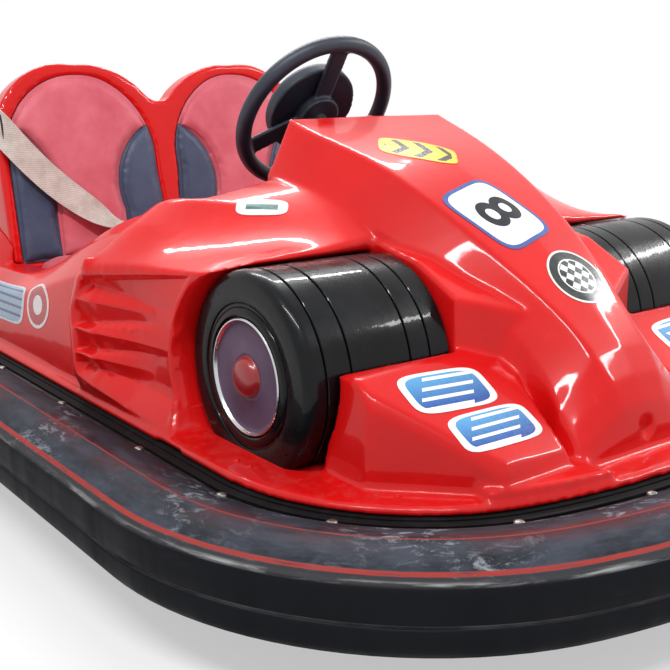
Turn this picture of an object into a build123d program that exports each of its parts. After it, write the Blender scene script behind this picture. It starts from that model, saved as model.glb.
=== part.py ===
from build123d import *
import os
from math import atan2, cos, degrees, hypot, radians, sin, tan

# A two-seat battery bumper car in millimetres. +Z is up, the front faces -Y and the car's
# left side is +X. The origin is on the floor, at the middle of the car's plan.

# Whole car. Places across the car keep their share of its width, places along it their share
# of its length, and heights of the body their share of the cowl's.
car_length = 2100
car_width = 1300
cowl_height = 596
corner_radius = car_width * 480 / 1300
end_radius = car_width * 1124 / 1300

# Rubber bumper
bumper_bottom = 70
bumper_width = 139
bumper_edge_height = 158
bumper_crown_inset = 74
bumper_crown_height = 178
bumper_inner_height = 158
groove_height = 112
groove_depth = 7

# Chassis
hoop_thickness = 6
hoop_flange = 50
floor_height = 96
floor_thickness = 4
frame_height = 62
rail_width = 50
rail_end_gap = 10
nose_rail_end_y = car_length * 810 / 2100
rail_inner_x = car_width * 350 / 1300
nose_rail_inner_x = car_width * 176 / 1300
nose_rail_width = 36
cross_member_ys = (car_length * 120 / 2100, car_length * 360 / 2100)
cross_member_size = 40
tie_spacing_x = car_width * 560 / 1300
tie_spacing_y = car_length * 400 / 2100
tie_hole_radius = 6.5
fit_gap = 0.3
run_gap = 0.05
move_gap = 6

# Moulded body
body_edge_inset = 165
skirt_lap = 8
deck_thickness = 12
deck_round = 8
shell_wall = 8
well_corner = 50
well_front = car_length * -262 / 2100
well_rear = car_length * 470 / 2100
cowl_rear = car_length * -240 / 2100
side_split_front = car_length * -262 / 2100
side_split_rear = car_length * 430 / 2100

# Round dimple in the nose's tip
dimple_radius = 14
dimple_depth = 8
dimple_y = -830
dimple_z = 205

# Raised blocks in front of the moulded tyres, and the slope of their tops
block_plan = ((90, -640), (150, -833), (272, -833), (290, -812), (388, -712), (392, -630))
block_taper = 6
block_bevel = 9
plinth_height = 12
block_top = 303
block_slope_point = (370, -700, 290)
block_slope_x = 0.058
block_slope_y = 0.586

# Moulded front tyres
mock_axis_y = car_length * -506 / 2100
mock_axis_z = 275
mock_radius = 141
mock_outer_x = car_width * 421 / 1300
mock_inner_x = car_width * 182 / 1300
mock_disc_radius = 79
mock_shoulder = 9
mock_nub_radius = 27
mock_groove_xs = (391, 352, 255, 221)
mock_groove_width = 3
mock_groove_depth = 4
mock_disc_depth = 12
mock_disc_thickness = 7
mock_disc_lip = 5
mock_lip_proud = 2
mock_nub_height = 14
mock_nub_round = 9
pocket_gap = 3
pocket_room = 20

# Drive unit under the nose
drive_y = car_length * -560 / 2100
drive_wheel_radius = 110
drive_wheel_width = 60
drive_opening_radius = 140
fork_plate = 8
turntable_radius = 112
kingpin_radius = 20
bay_front = -645
bay_rear = -470
bay_top = 340
bridge_height = 258
bridge_thickness = 10
bridge_half_width = 60
bridge_half_length = car_width * 156 / 1300
bridge_leg = 8
bearing_depth = 16
bearing_low = bridge_height - bearing_depth
bearing_radius = 44
kingpin_seat = 30
gearbox_half = 50
gearbox_height = 74
gearbox_bevel = 24
motor_radius = 55
motor_length = 68

# Steering
wheel_centre_y = car_length * -91 / 2100
wheel_centre_z = 593
column_tilt = 34.8
steering_rim_radius = 157
steering_tube_radius = 14
column_radius = 12
hub_pad_radius = 85
spoke_width = 34
column_length = 510
bracket_distance = 235
pedal_x = car_width * 95 / 1300
pedal_y = car_length * -385 / 2100
pedal_width = 62

# Rear wheels
rear_wheel_x = car_width * 290 / 1300
rear_wheel_y = car_length * 560 / 2100
rear_wheel_radius = 78
rear_wheel_width = 45
axle_radius = 10
bracket_half_length = 84
bracket_flange = 12
bracket_plate = 5
slot_half_width = 39
slot_half_length = 92

# Battery
battery_half_width = car_width * 225 / 1300
battery_front = car_length * 545 / 2100
battery_rear = car_length * 695 / 2100
battery_top = 300

# Seats
seat_recline = 10
seat_foot_y = car_length * 440 / 2100
seat_foot_z = 330
seat_half_width = car_width * 375 / 1300
seat_back_thickness = 60
pad_recess = 24
bench_front = car_length * 70 / 2100
bench_height = 225
cushion_thickness = 72
cushion_inset = 6
cushion_round = 18
hood_peak_x = car_width * 191 / 1300
hood_peak_up = 361
saddle_up = 283
hood_side = 215
seat_drop = 40
pad_inner_x = 12
pad_border = 21
pad_proud = 4
belt_width = 48
belt_thickness = 3
belt_reach = 36
belt_worn = (545, -48, 334)
belt_hanging = (560, 320)
anchor_x = car_width * 361 / 1300
anchor_z = 556
anchor_width = 14
anchor_length = 60
anchor_thickness = 12
stalk_width = 22
stalk_rise = 15
buckle_width = 40
buckle_length = 50
buckle_thickness = 20

floor_top = floor_height + floor_thickness
body_bottom = floor_top + frame_height
deck_top = body_bottom + deck_thickness


def arc_centres():
    """Centre of the left rear corner's arc, and the y of the rear end's arc centre."""
    corner_x = car_width / 2 - corner_radius
    end_y = car_length / 2 - end_radius
    corner_y = end_y + ((end_radius - corner_radius) ** 2 - corner_x ** 2) ** 0.5
    return corner_x, corner_y, end_y


def outline(inset):
    """Plan of the car moved inwards: tangent arcs at the ends and corners, straight sides."""
    corner_x, corner_y, end_y = arc_centres()
    half_angle = degrees(atan2(corner_x, corner_y - end_y))
    side_x = car_width / 2 - inset
    small = corner_radius - inset
    edges = []
    for turn, sign in ((270, -1), (90, 1)):
        end = CenterArc((0, sign * end_y), end_radius - inset, turn - half_angle, 2 * half_angle)
        edges.append(end)
    for start, sx, sy in ((270 + half_angle, 1, -1), (0, 1, 1), (90 + half_angle, -1, 1), (180, -1, -1)):
        edges.append(CenterArc((sx * corner_x, sy * corner_y), small, start, 90 - half_angle))
    for sx in (1, -1):
        edges.append(Line((sx * side_x, -corner_y), (sx * side_x, corner_y)))
    return make_face(edges)


def slab(inset, low, high):
    """Plate with the car's plan between two heights."""
    return Pos(0, 0, low) * extrude(outline(inset), high - low)


def ring(points):
    """Closed ring round the car whose section is a list of (inset, height) corners."""
    path = outline(0).face().outer_wire()
    start = Plane(origin=(car_width / 2, 0, 0), x_dir=(-1, 0, 0), z_dir=(0, 1, 0))
    section = make_face(Polyline(*points, close=True))
    return sweep(start * section, path=path)


def block(x0, x1, y0, y1, z0, z1):
    """Box between two corners."""
    size = Box(x1 - x0, y1 - y0, z1 - z0)
    return Pos((x0 + x1) / 2, (y0 + y1) / 2, (z0 + z1) / 2) * size


def both(shape):
    """A shape and its copy on the other side of the car."""
    return shape + mirror(shape, about=Plane.YZ)


def station(y, half):
    """Closed section across the car at y, from (x, z) corners of its left half."""
    points = [(x, z) for x, z in half] + [(-x, z) for x, z in reversed(half) if x > 0]
    plane = Plane(origin=(0, y, 0), x_dir=(1, 0, 0), z_dir=(0, -1, 0))
    return plane * make_face(Polyline(*points, close=True))


def side_station(y, points):
    """Closed section across the car's left side at y, from (x, z) corners."""
    plane = Plane(origin=(0, y, 0), x_dir=(1, 0, 0), z_dir=(0, -1, 0))
    return plane * make_face(Polyline(*points, close=True))


def x_cylinder(radius, x0, x1, y, z):
    """Cylinder along X between two x values."""
    return Pos((x0 + x1) / 2, y, z) * Rot(0, 90, 0) * Cylinder(radius, x1 - x0)


def bumper():
    crown = bumper_crown_inset
    points = [
        (24, bumper_bottom), (5, bumper_bottom + 16), (2, groove_height - 4),
        (2 + groove_depth, groove_height), (2, groove_height + 4), (0, bumper_edge_height - 8),
        (4, bumper_edge_height), (17, bumper_edge_height + 7), (45, bumper_crown_height - 3),
        (crown, bumper_crown_height), (crown + 36, bumper_crown_height - 5),
        (bumper_width, bumper_inner_height), (bumper_width, bumper_bottom + 14),
        (bumper_width - 16, bumper_bottom),
    ]
    return ring(points)


def bumper_carrier():
    inner = bumper_width + fit_gap
    web = inner + hoop_thickness
    low = floor_height - floor_thickness
    points = [
        (inner, bumper_bottom + 14), (inner, body_bottom - 6), (web, body_bottom - 6),
        (web, floor_height), (web + hoop_flange, floor_height), (web + hoop_flange, low),
        (web, low), (web, bumper_bottom + 14),
    ]
    return ring(points)


def skirt_band():
    outer = bumper_width + hoop_thickness + 2 * fit_gap
    points = [
        (outer, floor_top + 20), (outer, body_bottom - 2), (body_edge_inset - 6, body_bottom - 2),
        (body_edge_inset - 6, body_bottom), (body_edge_inset + skirt_lap, body_bottom),
        (body_edge_inset + skirt_lap, floor_top + 20),
    ]
    return ring(points)


def floor_pan():
    pan = slab(bumper_width + hoop_thickness + 2 * fit_gap, floor_height, floor_top)
    pan -= Pos(0, drive_y, floor_height) * Cylinder(drive_opening_radius, 40)
    x0, x1 = rear_wheel_x - slot_half_width, rear_wheel_x + slot_half_width
    y0, y1 = rear_wheel_y - slot_half_length, rear_wheel_y + slot_half_length
    pan -= both(block(x0, x1, y0, y1, floor_height - 10, floor_top + 10))
    for x in (-tie_spacing_x / 2, tie_spacing_x / 2):
        for y in (-tie_spacing_y / 2, tie_spacing_y / 2):
            pan -= Pos(x, y, floor_height) * Cylinder(tie_hole_radius, 40)
    return pan


def chassis_frame():
    low, high = floor_top, body_bottom
    rail_outer_x = rail_inner_x + rail_width
    nose_outer_x = nose_rail_inner_x + nose_rail_width
    nose_end = -nose_rail_end_y
    corner_x, corner_y, end_y = arc_centres()
    inner_radius = corner_radius - body_edge_inset - skirt_lap
    rail_end_y = corner_y + (inner_radius ** 2 - (rail_outer_x - corner_x) ** 2) ** 0.5 - rail_end_gap
    frame = block(rail_inner_x, rail_outer_x, -rail_end_y, rail_end_y, low, high)
    frame += block(nose_rail_inner_x, nose_outer_x, nose_end, well_front, low, high)
    frame += block(nose_rail_inner_x, rail_inner_x, well_front - cross_member_size, well_front, low, high)
    frame = both(frame)
    frame += block(-nose_outer_x, nose_outer_x, nose_end, nose_end + cross_member_size, low, high)
    frame += cross_members()
    frame += block(-rail_outer_x, rail_outer_x, rail_end_y - cross_member_size, rail_end_y, low, high)
    return frame


def cross_members(gap=0):
    """Square bars under the seat, or with a gap the notches that clear them."""
    bars = []
    for y in cross_member_ys:
        top = floor_top + cross_member_size + gap
        bars.append(block(-rail_inner_x, rail_inner_x, y - gap, y + cross_member_size + gap, floor_top, top))
    return bars[0] + bars[1]


def battery_pack():
    half = battery_half_width
    return block(-half, half, battery_front, battery_rear, floor_top, battery_top)


# Body stations at the real size
nose_table = (
    # y, centre z, ridge x, ridge z, side x, side z, foot x
    (-240, 596, 160, 592, 206, 505, 206),
    (-330, 569, 149, 563, 202, 490, 194),
    (-420, 540, 131, 532, 188, 462, 182),
    (-560, 471, 107, 463, 153, 408, 182),
    (-680, 390, 79, 384, 116, 330, 150),
    (-779, 306, 57, 300, 121, 240, 138),
)

tip_table = (
    # y, centre z, ridge x, ridge z, side x, side z, foot x
    (-779, 306, 57, 300, 121, 240, 138),
    (-806, 272, 48, 268, 124, 214, 142),
    (-822, 240, 42, 236, 126, 196, 146),
    (-830, 200, 38, 196, 122, 184, 148),
)

shoulder_table = (
    # y, inner x, inner z, mid x, mid z, shoulder x, shoulder z, edge x, edge z, recess, foot x
    (-475, 172, 434, 270, 424, 380, 422, 434, 410, 2, 436),
    (-375, 192, 482, 270, 460, 370, 425, 448, 402, 12, 446),
    (-262, 206, 504, 340, 480, 400, 442, 467, 395, 19, 456),
    (-160, 345, 459, 362, 456, 425, 425, 492, 380, 23, 468),
)

side_table = (
    # y, rim inner x, rim x, rim z, shoulder x, shoulder z, edge x, edge z, foot x
    (-262, 350, 352, 474, 395, 440, 430, 386, 462),
    (-160, 350, 362, 455, 402, 426, 444, 368, 466),
    (-40, 350, 372, 421, 408, 399, 448, 344, 468),
    (110, 350, 375, 358, 410, 344, 450, 302, 470),
    (270, 350, 375, 305, 410, 301, 450, 272, 472),
    (430, 350, 375, 293, 410, 294, 450, 273, 472),
)

ledge_table = (
    # y, inner z, outer z
    (-475, 434, 430),
    (-570, 404, 412),
    (-652, 371, 370),
    (-700, 346, 344),
)
ledge_plan = ((0, -470), (0, -700), (96, -692), (182, -648), (182, -470))

rear_table = (
    # y, centre z, shoulder x, shoulder z, edge x, edge z, foot x
    (430, 560, 300, 560, 385, 300, 472),
    (600, 524, 272, 512, 395, 320, 466),
    (720, 450, 236, 436, 352, 294, 420),
    (800, 378, 190, 366, 270, 268, 324),
    (862, 300, 130, 290, 176, 240, 206),
)

# Fins of the side recess, from the pod's rear edge to a point sunk in the recess
fin_table = (
    # high z, low z, tip x, tip y, tip z
    (374, 336, 436, -385, 352),
    (330, 291, 429, -445, 310),
    (285, 246, 436, -385, 266),
)
fin_depth = 19


def plan_x(x):
    return x * car_width / 1300


def plan_y(y):
    return y * car_length / 2100


def rise(z):
    return z * cowl_height / 596


def nose_sections(table, wall):
    """Sections across the nose, or with a wall those of the space inside it."""
    low = floor_top if wall else body_bottom
    sections = []
    for y, centre_z, ridge_x, ridge_z, side_x, side_z, foot_x in table:
        half = [(0, rise(centre_z) - wall), (plan_x(ridge_x) - wall, rise(ridge_z) - wall * 1.2)]
        half += [(plan_x(side_x) - wall * 1.1, rise(side_z) - wall), (plan_x(foot_x) - wall, low)]
        sections.append(station(plan_y(y), half))
    return sections


def nose_solid(wall=0):
    """Wedge nose and cowl, or with a wall the space inside it."""
    if wall:
        return loft(nose_sections(nose_table[:-1], wall), ruled=True)
    return loft(nose_sections(nose_table, 0)) + loft(nose_sections(tip_table, 0), ruled=True)


def ledge_solid():
    """Inner flange beside the moulded tyre that ends in a step above the front block."""
    sections = []
    for y, inner_z, outer_z in ledge_table:
        corners = [(0, rise(inner_z)), (plan_x(100), rise(inner_z)), (mock_inner_x, rise(outer_z))]
        corners += [(mock_inner_x, body_bottom), (0, body_bottom)]
        sections.append(side_station(plan_y(y), corners))
    plan = make_face(Polyline(*[(plan_x(x), plan_y(y)) for x, y in ledge_plan], close=True))
    return loft(sections, ruled=True) & extrude(plan, car_width)


def pod_solid():
    """Arch, shoulder and side pod in front of the pod's rear edge, with the recess in its side."""
    sections = []
    for y, x0, z0, x1, z1, x2, z2, x3, z3, recess, foot in shoulder_table:
        inner, edge, foot = plan_x(x0), plan_x(x3), plan_x(foot)
        high = rise(z3)
        corners = [(inner - 20, body_bottom), (inner - 20, rise(z0)), (inner, rise(z0))]
        corners += [(plan_x(x1), rise(z1)), (plan_x(x2), rise(z2)), (edge, high)]
        corners += [(edge - 1, high - 10), (edge - recess, high - 26), (edge - recess, rise(225))]
        corners += [(foot, deck_top), (foot, body_bottom)]
        sections.append(side_station(plan_y(y), corners))
    return loft(sections)


def pod_rear_edge():
    """Raised lip down the pod's rear edge, with the fins that run forward from it."""
    y0, y1 = plan_y(-176), plan_y(-160)
    outer = plan_x(491)
    inner = plan_x(450)
    lip = [(inner, rise(400)), (outer - 4, rise(396)), (outer, rise(386)), (outer, rise(206))]
    lip += [(outer - 12, rise(182)), (inner, rise(174))]
    side = Plane(origin=(0, y1, 0), x_dir=(1, 0, 0), z_dir=(0, -1, 0))
    edge = extrude(side * make_face(Polyline(*lip, close=True)), y1 - y0)
    for high, low, tip_x, tip_y, tip_z in fin_table:
        upper = [(inner, rise(high)), (outer - fin_depth, rise(high))]
        root = upper + [(outer, rise(low)), (inner, rise(low - 6))]
        x, z = plan_x(tip_x), rise(tip_z)
        point = [(x - 8, z + 3), (x - 2, z + 3), (x, z - 3), (x - 8, z - 3)]
        edge += loft([side_station(y0 + 2, root), side_station(plan_y(tip_y), point)], ruled=True)
    return edge


def side_solid():
    """Low side of the body beside the cockpit, behind the pod's rear edge."""
    sections = []
    for y, x0, x1, z1, x2, z2, x3, z3, foot in side_table:
        corners = [(plan_x(x0), body_bottom), (plan_x(x0), rise(z1)), (plan_x(x1), rise(z1))]
        corners += [(plan_x(x2), rise(z2)), (plan_x(x3), rise(z3)), (plan_x(foot), deck_top)]
        corners += [(plan_x(foot), body_bottom)]
        sections.append(side_station(plan_y(y), corners))
    return loft(sections)


def rear_solid(wall=0):
    """Tail behind the seat, or with a wall the space inside it."""
    sections = []
    low = floor_top if wall else body_bottom
    for y, centre_z, x1, z1, x2, z2, foot in rear_table:
        half = [(0, rise(centre_z) - wall), (plan_x(x1) - wall, rise(z1) - wall)]
        half += [(plan_x(x2) - wall, rise(z2) - wall), (plan_x(foot) - 1.5 * wall, low)]
        sections.append(station(plan_y(y) - (2 * wall if y > 800 else 0), half))
    return loft(sections, ruled=wall > 0)


def front_block():
    """Raised block in front of a moulded tyre, with a top that slopes forward."""
    corners = [(plan_x(x), plan_y(y)) for x, y in block_plan]
    plan = Pos(0, 0, body_bottom) * make_face(Polyline(*corners, close=True))
    solid = extrude(plan, block_top - body_bottom, taper=block_taper)
    normal = (-block_slope_x, -block_slope_y, 1)
    x, y, z = block_slope_point
    slope = Plane(origin=(plan_x(x), plan_y(y), z), z_dir=normal)
    solid = split(solid, bisect_by=slope, keep=Keep.BOTTOM)
    for start, end in zip(corners[1:4], corners[2:5]):
        run = Vector(end[0] - start[0], end[1] - start[1], 0).normalized()
        outward = Vector(run.Y, -run.X, 0)
        drop = block_slope_x * (start[0] - plan_x(x)) + block_slope_y * (start[1] - plan_y(y))
        top = min(z + drop, block_top) - block_bevel
        wall = Vector(start[0], start[1], top) - outward * (top - body_bottom) * tan(radians(block_taper))
        bevel = Plane(origin=wall, x_dir=run, z_dir=outward + Vector(normal).normalized())
        solid = split(solid, bisect_by=bevel, keep=Keep.BOTTOM)
    plinth = slab(body_edge_inset + deck_round, deck_top, deck_top + plinth_height)
    return solid + (plinth & block(plan_x(120), plan_x(292), plan_y(-900), plan_y(-790), 0, car_width))


def tyre_pocket():
    """Space that a moulded tyre sits in, above the deck on the car's left."""
    pocket = x_cylinder(mock_radius + pocket_gap, mock_inner_x, car_width / 2, mock_axis_y, mock_axis_z)
    return pocket - block(0, car_width, -car_length, 0, 0, deck_top)


def seat_plane(offset=0):
    """Plane of the seat back's front face, x across and y up the back."""
    lean = radians(seat_recline)
    normal = Vector(0, -cos(lean), sin(lean))
    return Plane(origin=Vector(0, seat_foot_y, seat_foot_z) + normal * offset, x_dir=(1, 0, 0), z_dir=normal)


def behind_seat(gap):
    """Half space in front of the seat back's rear face, moved back by a gap."""
    cutter = Pos(0, 0, car_width / 2) * Box(2 * car_width, 2 * car_length, car_width)
    return seat_plane(-seat_back_thickness - gap) * cutter


def body_parts():
    """Front, sides and rear of the moulded body, with the seat well and the nose's space cut out."""
    far = 2 * car_length
    deck = slab(body_edge_inset, body_bottom, deck_top)
    deck = fillet(deck.faces().sort_by(Axis.Z)[-1].outer_wire().edges(), deck_round)
    well = block(-rail_inner_x, rail_inner_x, well_front, well_rear + seat_back_thickness, 0, far)
    well = fillet(well.edges().filter_by(Axis.Z).group_by(Axis.Y)[0], well_corner)
    inside = nose_solid(wall=shell_wall)

    swing = (drive_opening_radius + turntable_radius) / 2 + move_gap
    drum_high = bearing_low
    inside += Pos(0, drive_y, (floor_top + drum_high) / 2) * Cylinder(swing, drum_high - floor_top)
    bay = mock_inner_x - shell_wall - fit_gap
    pocket_rear = mock_axis_y + mock_radius + pocket_room
    inside += block(-bay, bay, plan_y(bay_front), plan_y(bay_rear), floor_top, rise(bay_top))
    inside -= both(block(mock_inner_x - shell_wall, far, plan_y(-700), pocket_rear, 0, far))

    left = pod_solid() + pod_rear_edge() + ledge_solid() + front_block()
    front = deck + nose_solid() + both(left) - both(tyre_pocket())
    side = both(side_solid())
    whole = front + side - well - inside
    middle = block(-far, far, side_split_front, side_split_rear, 0, far)
    ahead = block(-far, far, -far, side_split_front, 0, far)
    aft = block(-far, far, side_split_rear, far, 0, far)
    dimple = Rot(90, 0, 0) * Cylinder(dimple_radius, 2 * dimple_depth)
    whole -= Pos(0, plan_y(dimple_y), dimple_z) * dimple
    body_front = whole & ahead
    lip_space = block(-rail_inner_x, rail_inner_x, side_split_front, cowl_rear, battery_top, far)
    cowl_lip = (nose_solid() - inside) & lip_space
    body_front += cowl_lip
    sides = (whole & middle) - cowl_lip
    half = seat_half_width + fit_gap
    behind = behind_seat(fit_gap) & block(-half, half, -far, far, -far, far)
    rear = (whole & aft) + (rear_solid() - behind)
    rear -= rear_solid(wall=shell_wall)
    rear_well = well_rear + seat_back_thickness
    rear -= block(-rail_inner_x, rail_inner_x, side_split_rear, rear_well, 0, deck_top + 1)
    return body_front, sides, rear


def mock_tyre():
    """Solid moulded tyre with tread grooves, cut flat where it sits on the deck."""
    tyre = x_cylinder(mock_radius, mock_inner_x, mock_outer_x, mock_axis_y, mock_axis_z)
    tyre = fillet(tyre.edges().filter_by(GeomType.CIRCLE).sort_by(Axis.X)[-1], mock_shoulder)
    floor_of_groove = mock_radius - mock_groove_depth
    for x in mock_groove_xs:
        x0 = plan_x(x) - mock_groove_width / 2
        x1 = x0 + mock_groove_width
        groove = x_cylinder(mock_radius + fit_gap, x0, x1, mock_axis_y, mock_axis_z)
        groove -= x_cylinder(floor_of_groove, x0, x1, mock_axis_y, mock_axis_z)
        tyre -= groove
    recess_x = mock_outer_x - mock_disc_depth
    tyre -= x_cylinder(mock_disc_radius + fit_gap, recess_x, car_width / 2, mock_axis_y, mock_axis_z)
    tyre -= block(0, car_width, -car_length, 0, 0, deck_top)
    return tyre


def mock_disc():
    """Wheel disc with a raised rim and a domed nub, set in the moulded tyre's side."""
    inner = mock_outer_x - mock_disc_depth
    face = inner + mock_disc_thickness
    lip_x = mock_outer_x + mock_lip_proud
    disc = x_cylinder(mock_disc_radius, inner, face, mock_axis_y, mock_axis_z)
    lip = x_cylinder(mock_disc_radius, face, lip_x, mock_axis_y, mock_axis_z)
    lip -= x_cylinder(mock_disc_radius - mock_disc_lip, face, lip_x, mock_axis_y, mock_axis_z)
    nub = x_cylinder(mock_nub_radius, face, face + mock_nub_height, mock_axis_y, mock_axis_z)
    nub = fillet(nub.edges().filter_by(GeomType.CIRCLE).sort_by(Axis.X)[-1], mock_nub_round)
    return disc + lip + nub


def drive_bridge():
    """Steel bridge over the drive unit, with the bearing that the unit turns in."""
    half = bridge_half_length
    top = bridge_height + bridge_thickness
    y0, y1 = drive_y - bridge_half_width, drive_y + bridge_half_width
    bridge = block(-half, half, y0, y1, bridge_height, top)
    leg = block(half - bridge_leg, half, y0, y1, floor_top, bridge_height)
    bridge += both(leg)
    middle = (bearing_low + bridge_height) / 2
    bearing = Pos(0, drive_y, middle) * Cylinder(bearing_radius, bridge_height - bearing_low)
    bridge += bearing
    bore = kingpin_radius + run_gap
    return bridge - Pos(0, drive_y, bridge_height) * Cylinder(bore, 100)


def column_frame():
    """Plane at the steering wheel's centre whose Z points up the column to the driver."""
    tilt = radians(column_tilt)
    axis = Vector(0, cos(tilt), sin(tilt))
    return Plane(origin=(0, wheel_centre_y, wheel_centre_z), x_dir=(-1, 0, 0), z_dir=axis)


def along_column(radius, low, high):
    """Cylinder on the column's axis between two distances from the steering wheel's centre."""
    return column_frame() * Pos(0, 0, (low + high) / 2) * Cylinder(radius, high - low)


def steering_gearbox():
    """Bevel gearbox on the bridge that joins the column to the drive unit's kingpin."""
    low = bridge_height + bridge_thickness
    front, rear = drive_y - gearbox_half, drive_y + gearbox_half + 5
    box = block(-gearbox_half, gearbox_half, front, rear, low, low + gearbox_height)
    box = chamfer(box.edges().filter_by(Axis.X).group_by(Axis.Z)[-1], gearbox_bevel)
    box -= Pos(0, drive_y, low) * Cylinder(kingpin_radius + run_gap, 2 * kingpin_seat)
    box -= along_column(column_radius + run_gap, -column_length - 6, 0)
    return box


def steering_column():
    return along_column(column_radius, -column_length, -16)


def column_bracket():
    """Hanger under the cowl with the collar that the column turns in."""
    low = -bracket_distance - 14
    high = -bracket_distance + 14
    collar = along_column(24, low, high)
    web = column_frame() * Pos(0, 130, -bracket_distance) * Box(60, 220, 8)
    web &= nose_solid(wall=shell_wall + fit_gap)
    return collar + web - along_column(column_radius + run_gap, low - 200, high + 200)


def steering_wheel():
    """Rim, three flat spokes and boss in one moulding."""
    path_radius = steering_rim_radius - steering_tube_radius
    rim = Torus(path_radius, steering_tube_radius)
    boss = Pos(0, 0, -4) * Cylinder(40, 24)
    wheel = rim + boss
    for angle in (90, -30, 210):
        spoke = Pos(path_radius / 2, 0, 0) * Box(path_radius, spoke_width, 9)
        wheel += Rot(0, 0, angle) * spoke
    return column_frame() * wheel


def steering_pad():
    pad = Pos(0, 0, 8 + 15) * Cylinder(hub_pad_radius, 30)
    pad = fillet(pad.edges().filter_by(GeomType.CIRCLE).sort_by(Axis.Z)[-1], 12)
    return column_frame() * pad


def drive_fork():
    """Turntable plate, kingpin and the two plates that carry the drive wheel."""
    plate_high = bearing_low - move_gap
    plate_low = plate_high - 10
    fork = Pos(0, drive_y, (plate_low + plate_high) / 2) * Cylinder(turntable_radius, plate_high - plate_low)
    pin_high = bridge_height + bridge_thickness + kingpin_seat - 2
    pin = Cylinder(kingpin_radius, pin_high - plate_low)
    fork += Pos(0, drive_y, (pin_high + plate_low) / 2) * pin
    inner = drive_wheel_width / 2 + move_gap
    leg = block(inner, inner + fork_plate, drive_y - 45, drive_y + 45, drive_wheel_radius - 30, plate_low)
    fork += both(leg)
    bore = axle_radius + run_gap
    return fork - x_cylinder(bore, -80, 80, drive_y, drive_wheel_radius)


def drive_motor():
    """Motor and reduction gear on the left fork plate."""
    inner = drive_wheel_width / 2 + move_gap + fork_plate
    motor = x_cylinder(motor_radius, inner, inner + motor_length, drive_y, drive_wheel_radius)
    motor = fillet(motor.edges().filter_by(GeomType.CIRCLE).sort_by(Axis.X)[-1], 8)
    return motor - x_cylinder(axle_radius + run_gap, inner - 1, inner + 14, drive_y, drive_wheel_radius)


def rolling_wheel(x, y, radius, width, hub_radius, axle_length):
    """Tyre and hub with its axle, for a wheel that turns about X."""
    half = width / 2
    tyre = x_cylinder(radius, x - half, x + half, y, radius)
    tyre = chamfer(tyre.edges().filter_by(GeomType.CIRCLE), width * 0.12)
    tyre -= x_cylinder(hub_radius, x - half - 1, x + half + 1, y, radius)
    hub = x_cylinder(hub_radius, x - half, x + half, y, radius)
    for side in (-1, 1):
        face = x + side * half
        cut = x_cylinder(hub_radius - 8, min(face, face - side * 8), max(face, face - side * 8), y, radius)
        hub -= cut
    hub += x_cylinder(axle_radius * 1.6, x - half - 2, x + half + 2, y, radius)
    hub += x_cylinder(axle_radius, x - axle_length / 2, x + axle_length / 2, y, radius)
    return tyre, hub


def rear_bracket():
    """Inverted channel over a rear wheel, bolted to the floor pan by its flanges."""
    inner = rear_wheel_width / 2 + move_gap
    outer = inner + bracket_plate
    top = 2 * rear_wheel_radius + move_gap
    x, y = rear_wheel_x, rear_wheel_y
    y0, y1 = y - bracket_half_length, y + bracket_half_length
    low = rear_wheel_radius - 22
    channel = block(x - outer, x + outer, y - 35, y + 35, low, top + bracket_plate)
    flange = outer + bracket_flange
    channel += block(x - flange, x + flange, y0, y1, floor_top, floor_top + bracket_plate)
    channel -= block(x - inner, x + inner, y0 - 1, y1 + 1, 0, top)
    return channel - x_cylinder(axle_radius + run_gap, x - 80, x + 80, y, rear_wheel_radius)


def accelerator():
    """Floor pedal on a hinge block at the front of the footwell."""
    profile = ((30, 0), (30, 12), (10, 12), (-42, 110), (-50, 106), (-2, 12), (-12, 12), (-12, 0))
    side = Plane(origin=(pedal_x, pedal_y, floor_top), x_dir=(0, 1, 0), z_dir=(1, 0, 0))
    return extrude(side * make_face(Polyline(*profile, close=True)), pedal_width / 2, both=True)


def seat_outline(grow=0):
    """Twin hoods of the seat back in its own plane, x across and y up the back."""
    w = seat_half_width + grow
    peak = hood_peak_up + grow
    saddle = saddle_up + grow
    low = -seat_drop
    left = [
        Line((-w, low), (-w, hood_side)),
        ThreePointArc((-w, hood_side), (-w + 40, peak - 49), (-hood_peak_x, peak)),
        ThreePointArc((-hood_peak_x, peak), (-hood_peak_x / 2, peak - 16), (-28, saddle + 10)),
    ]
    middle = ThreePointArc((-28, saddle + 10), (0, saddle), (28, saddle + 10))
    right = [mirror(e, about=Plane.YZ) for e in left]
    return make_face(left + [middle] + right + [Line((-w, low), (w, low))])


def pad_outline(shrink=0):
    """Outline of one seat's padding inside its hood, on the car's left."""
    x0, x1 = pad_inner_x + shrink, seat_half_width - pad_border - shrink
    top = hood_peak_up - pad_border - shrink
    foot = -seat_drop
    edges = [
        Line((x0, foot), (x0 + 15, 143)),
        ThreePointArc((x0 + 15, 143), (x0 + 40, 258 - shrink), (108, top - 24)),
        ThreePointArc((108, top - 24), (148, top - 5), (hood_peak_x, top)),
        ThreePointArc((hood_peak_x, top), (x1 - 36, top - 58), (x1, 190)),
        Line((x1, 190), (x1, foot)),
        Line((x1, foot), (x0, foot)),
    ]
    return make_face(edges)


def seat_shell():
    """Moulded bench and twin-hood back that fill the rear of the cockpit."""
    back = extrude(seat_outline(), -seat_back_thickness)
    pocket = extrude(pad_outline(), -pad_recess)
    back -= both(pocket)
    back = seat_plane() * back
    half = rail_inner_x - fit_gap
    low_back = seat_plane() * block(-half, half, -seat_foot_z, -seat_drop, -seat_back_thickness, 0)
    far = car_width
    wall = shell_wall
    bench = block(-half, half, bench_front, seat_foot_y, floor_top, bench_height)
    hollow = block(wall - half, half - wall, bench_front + wall, seat_foot_y + wall, 0, bench_height - wall)
    in_front = seat_plane() * block(-far, far, -far, far, -seat_back_thickness, far)
    shell = back + low_back + (bench & in_front) - hollow
    return shell - block(-far, far, 0, far, -far, floor_top) - cross_members(fit_gap)


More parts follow.
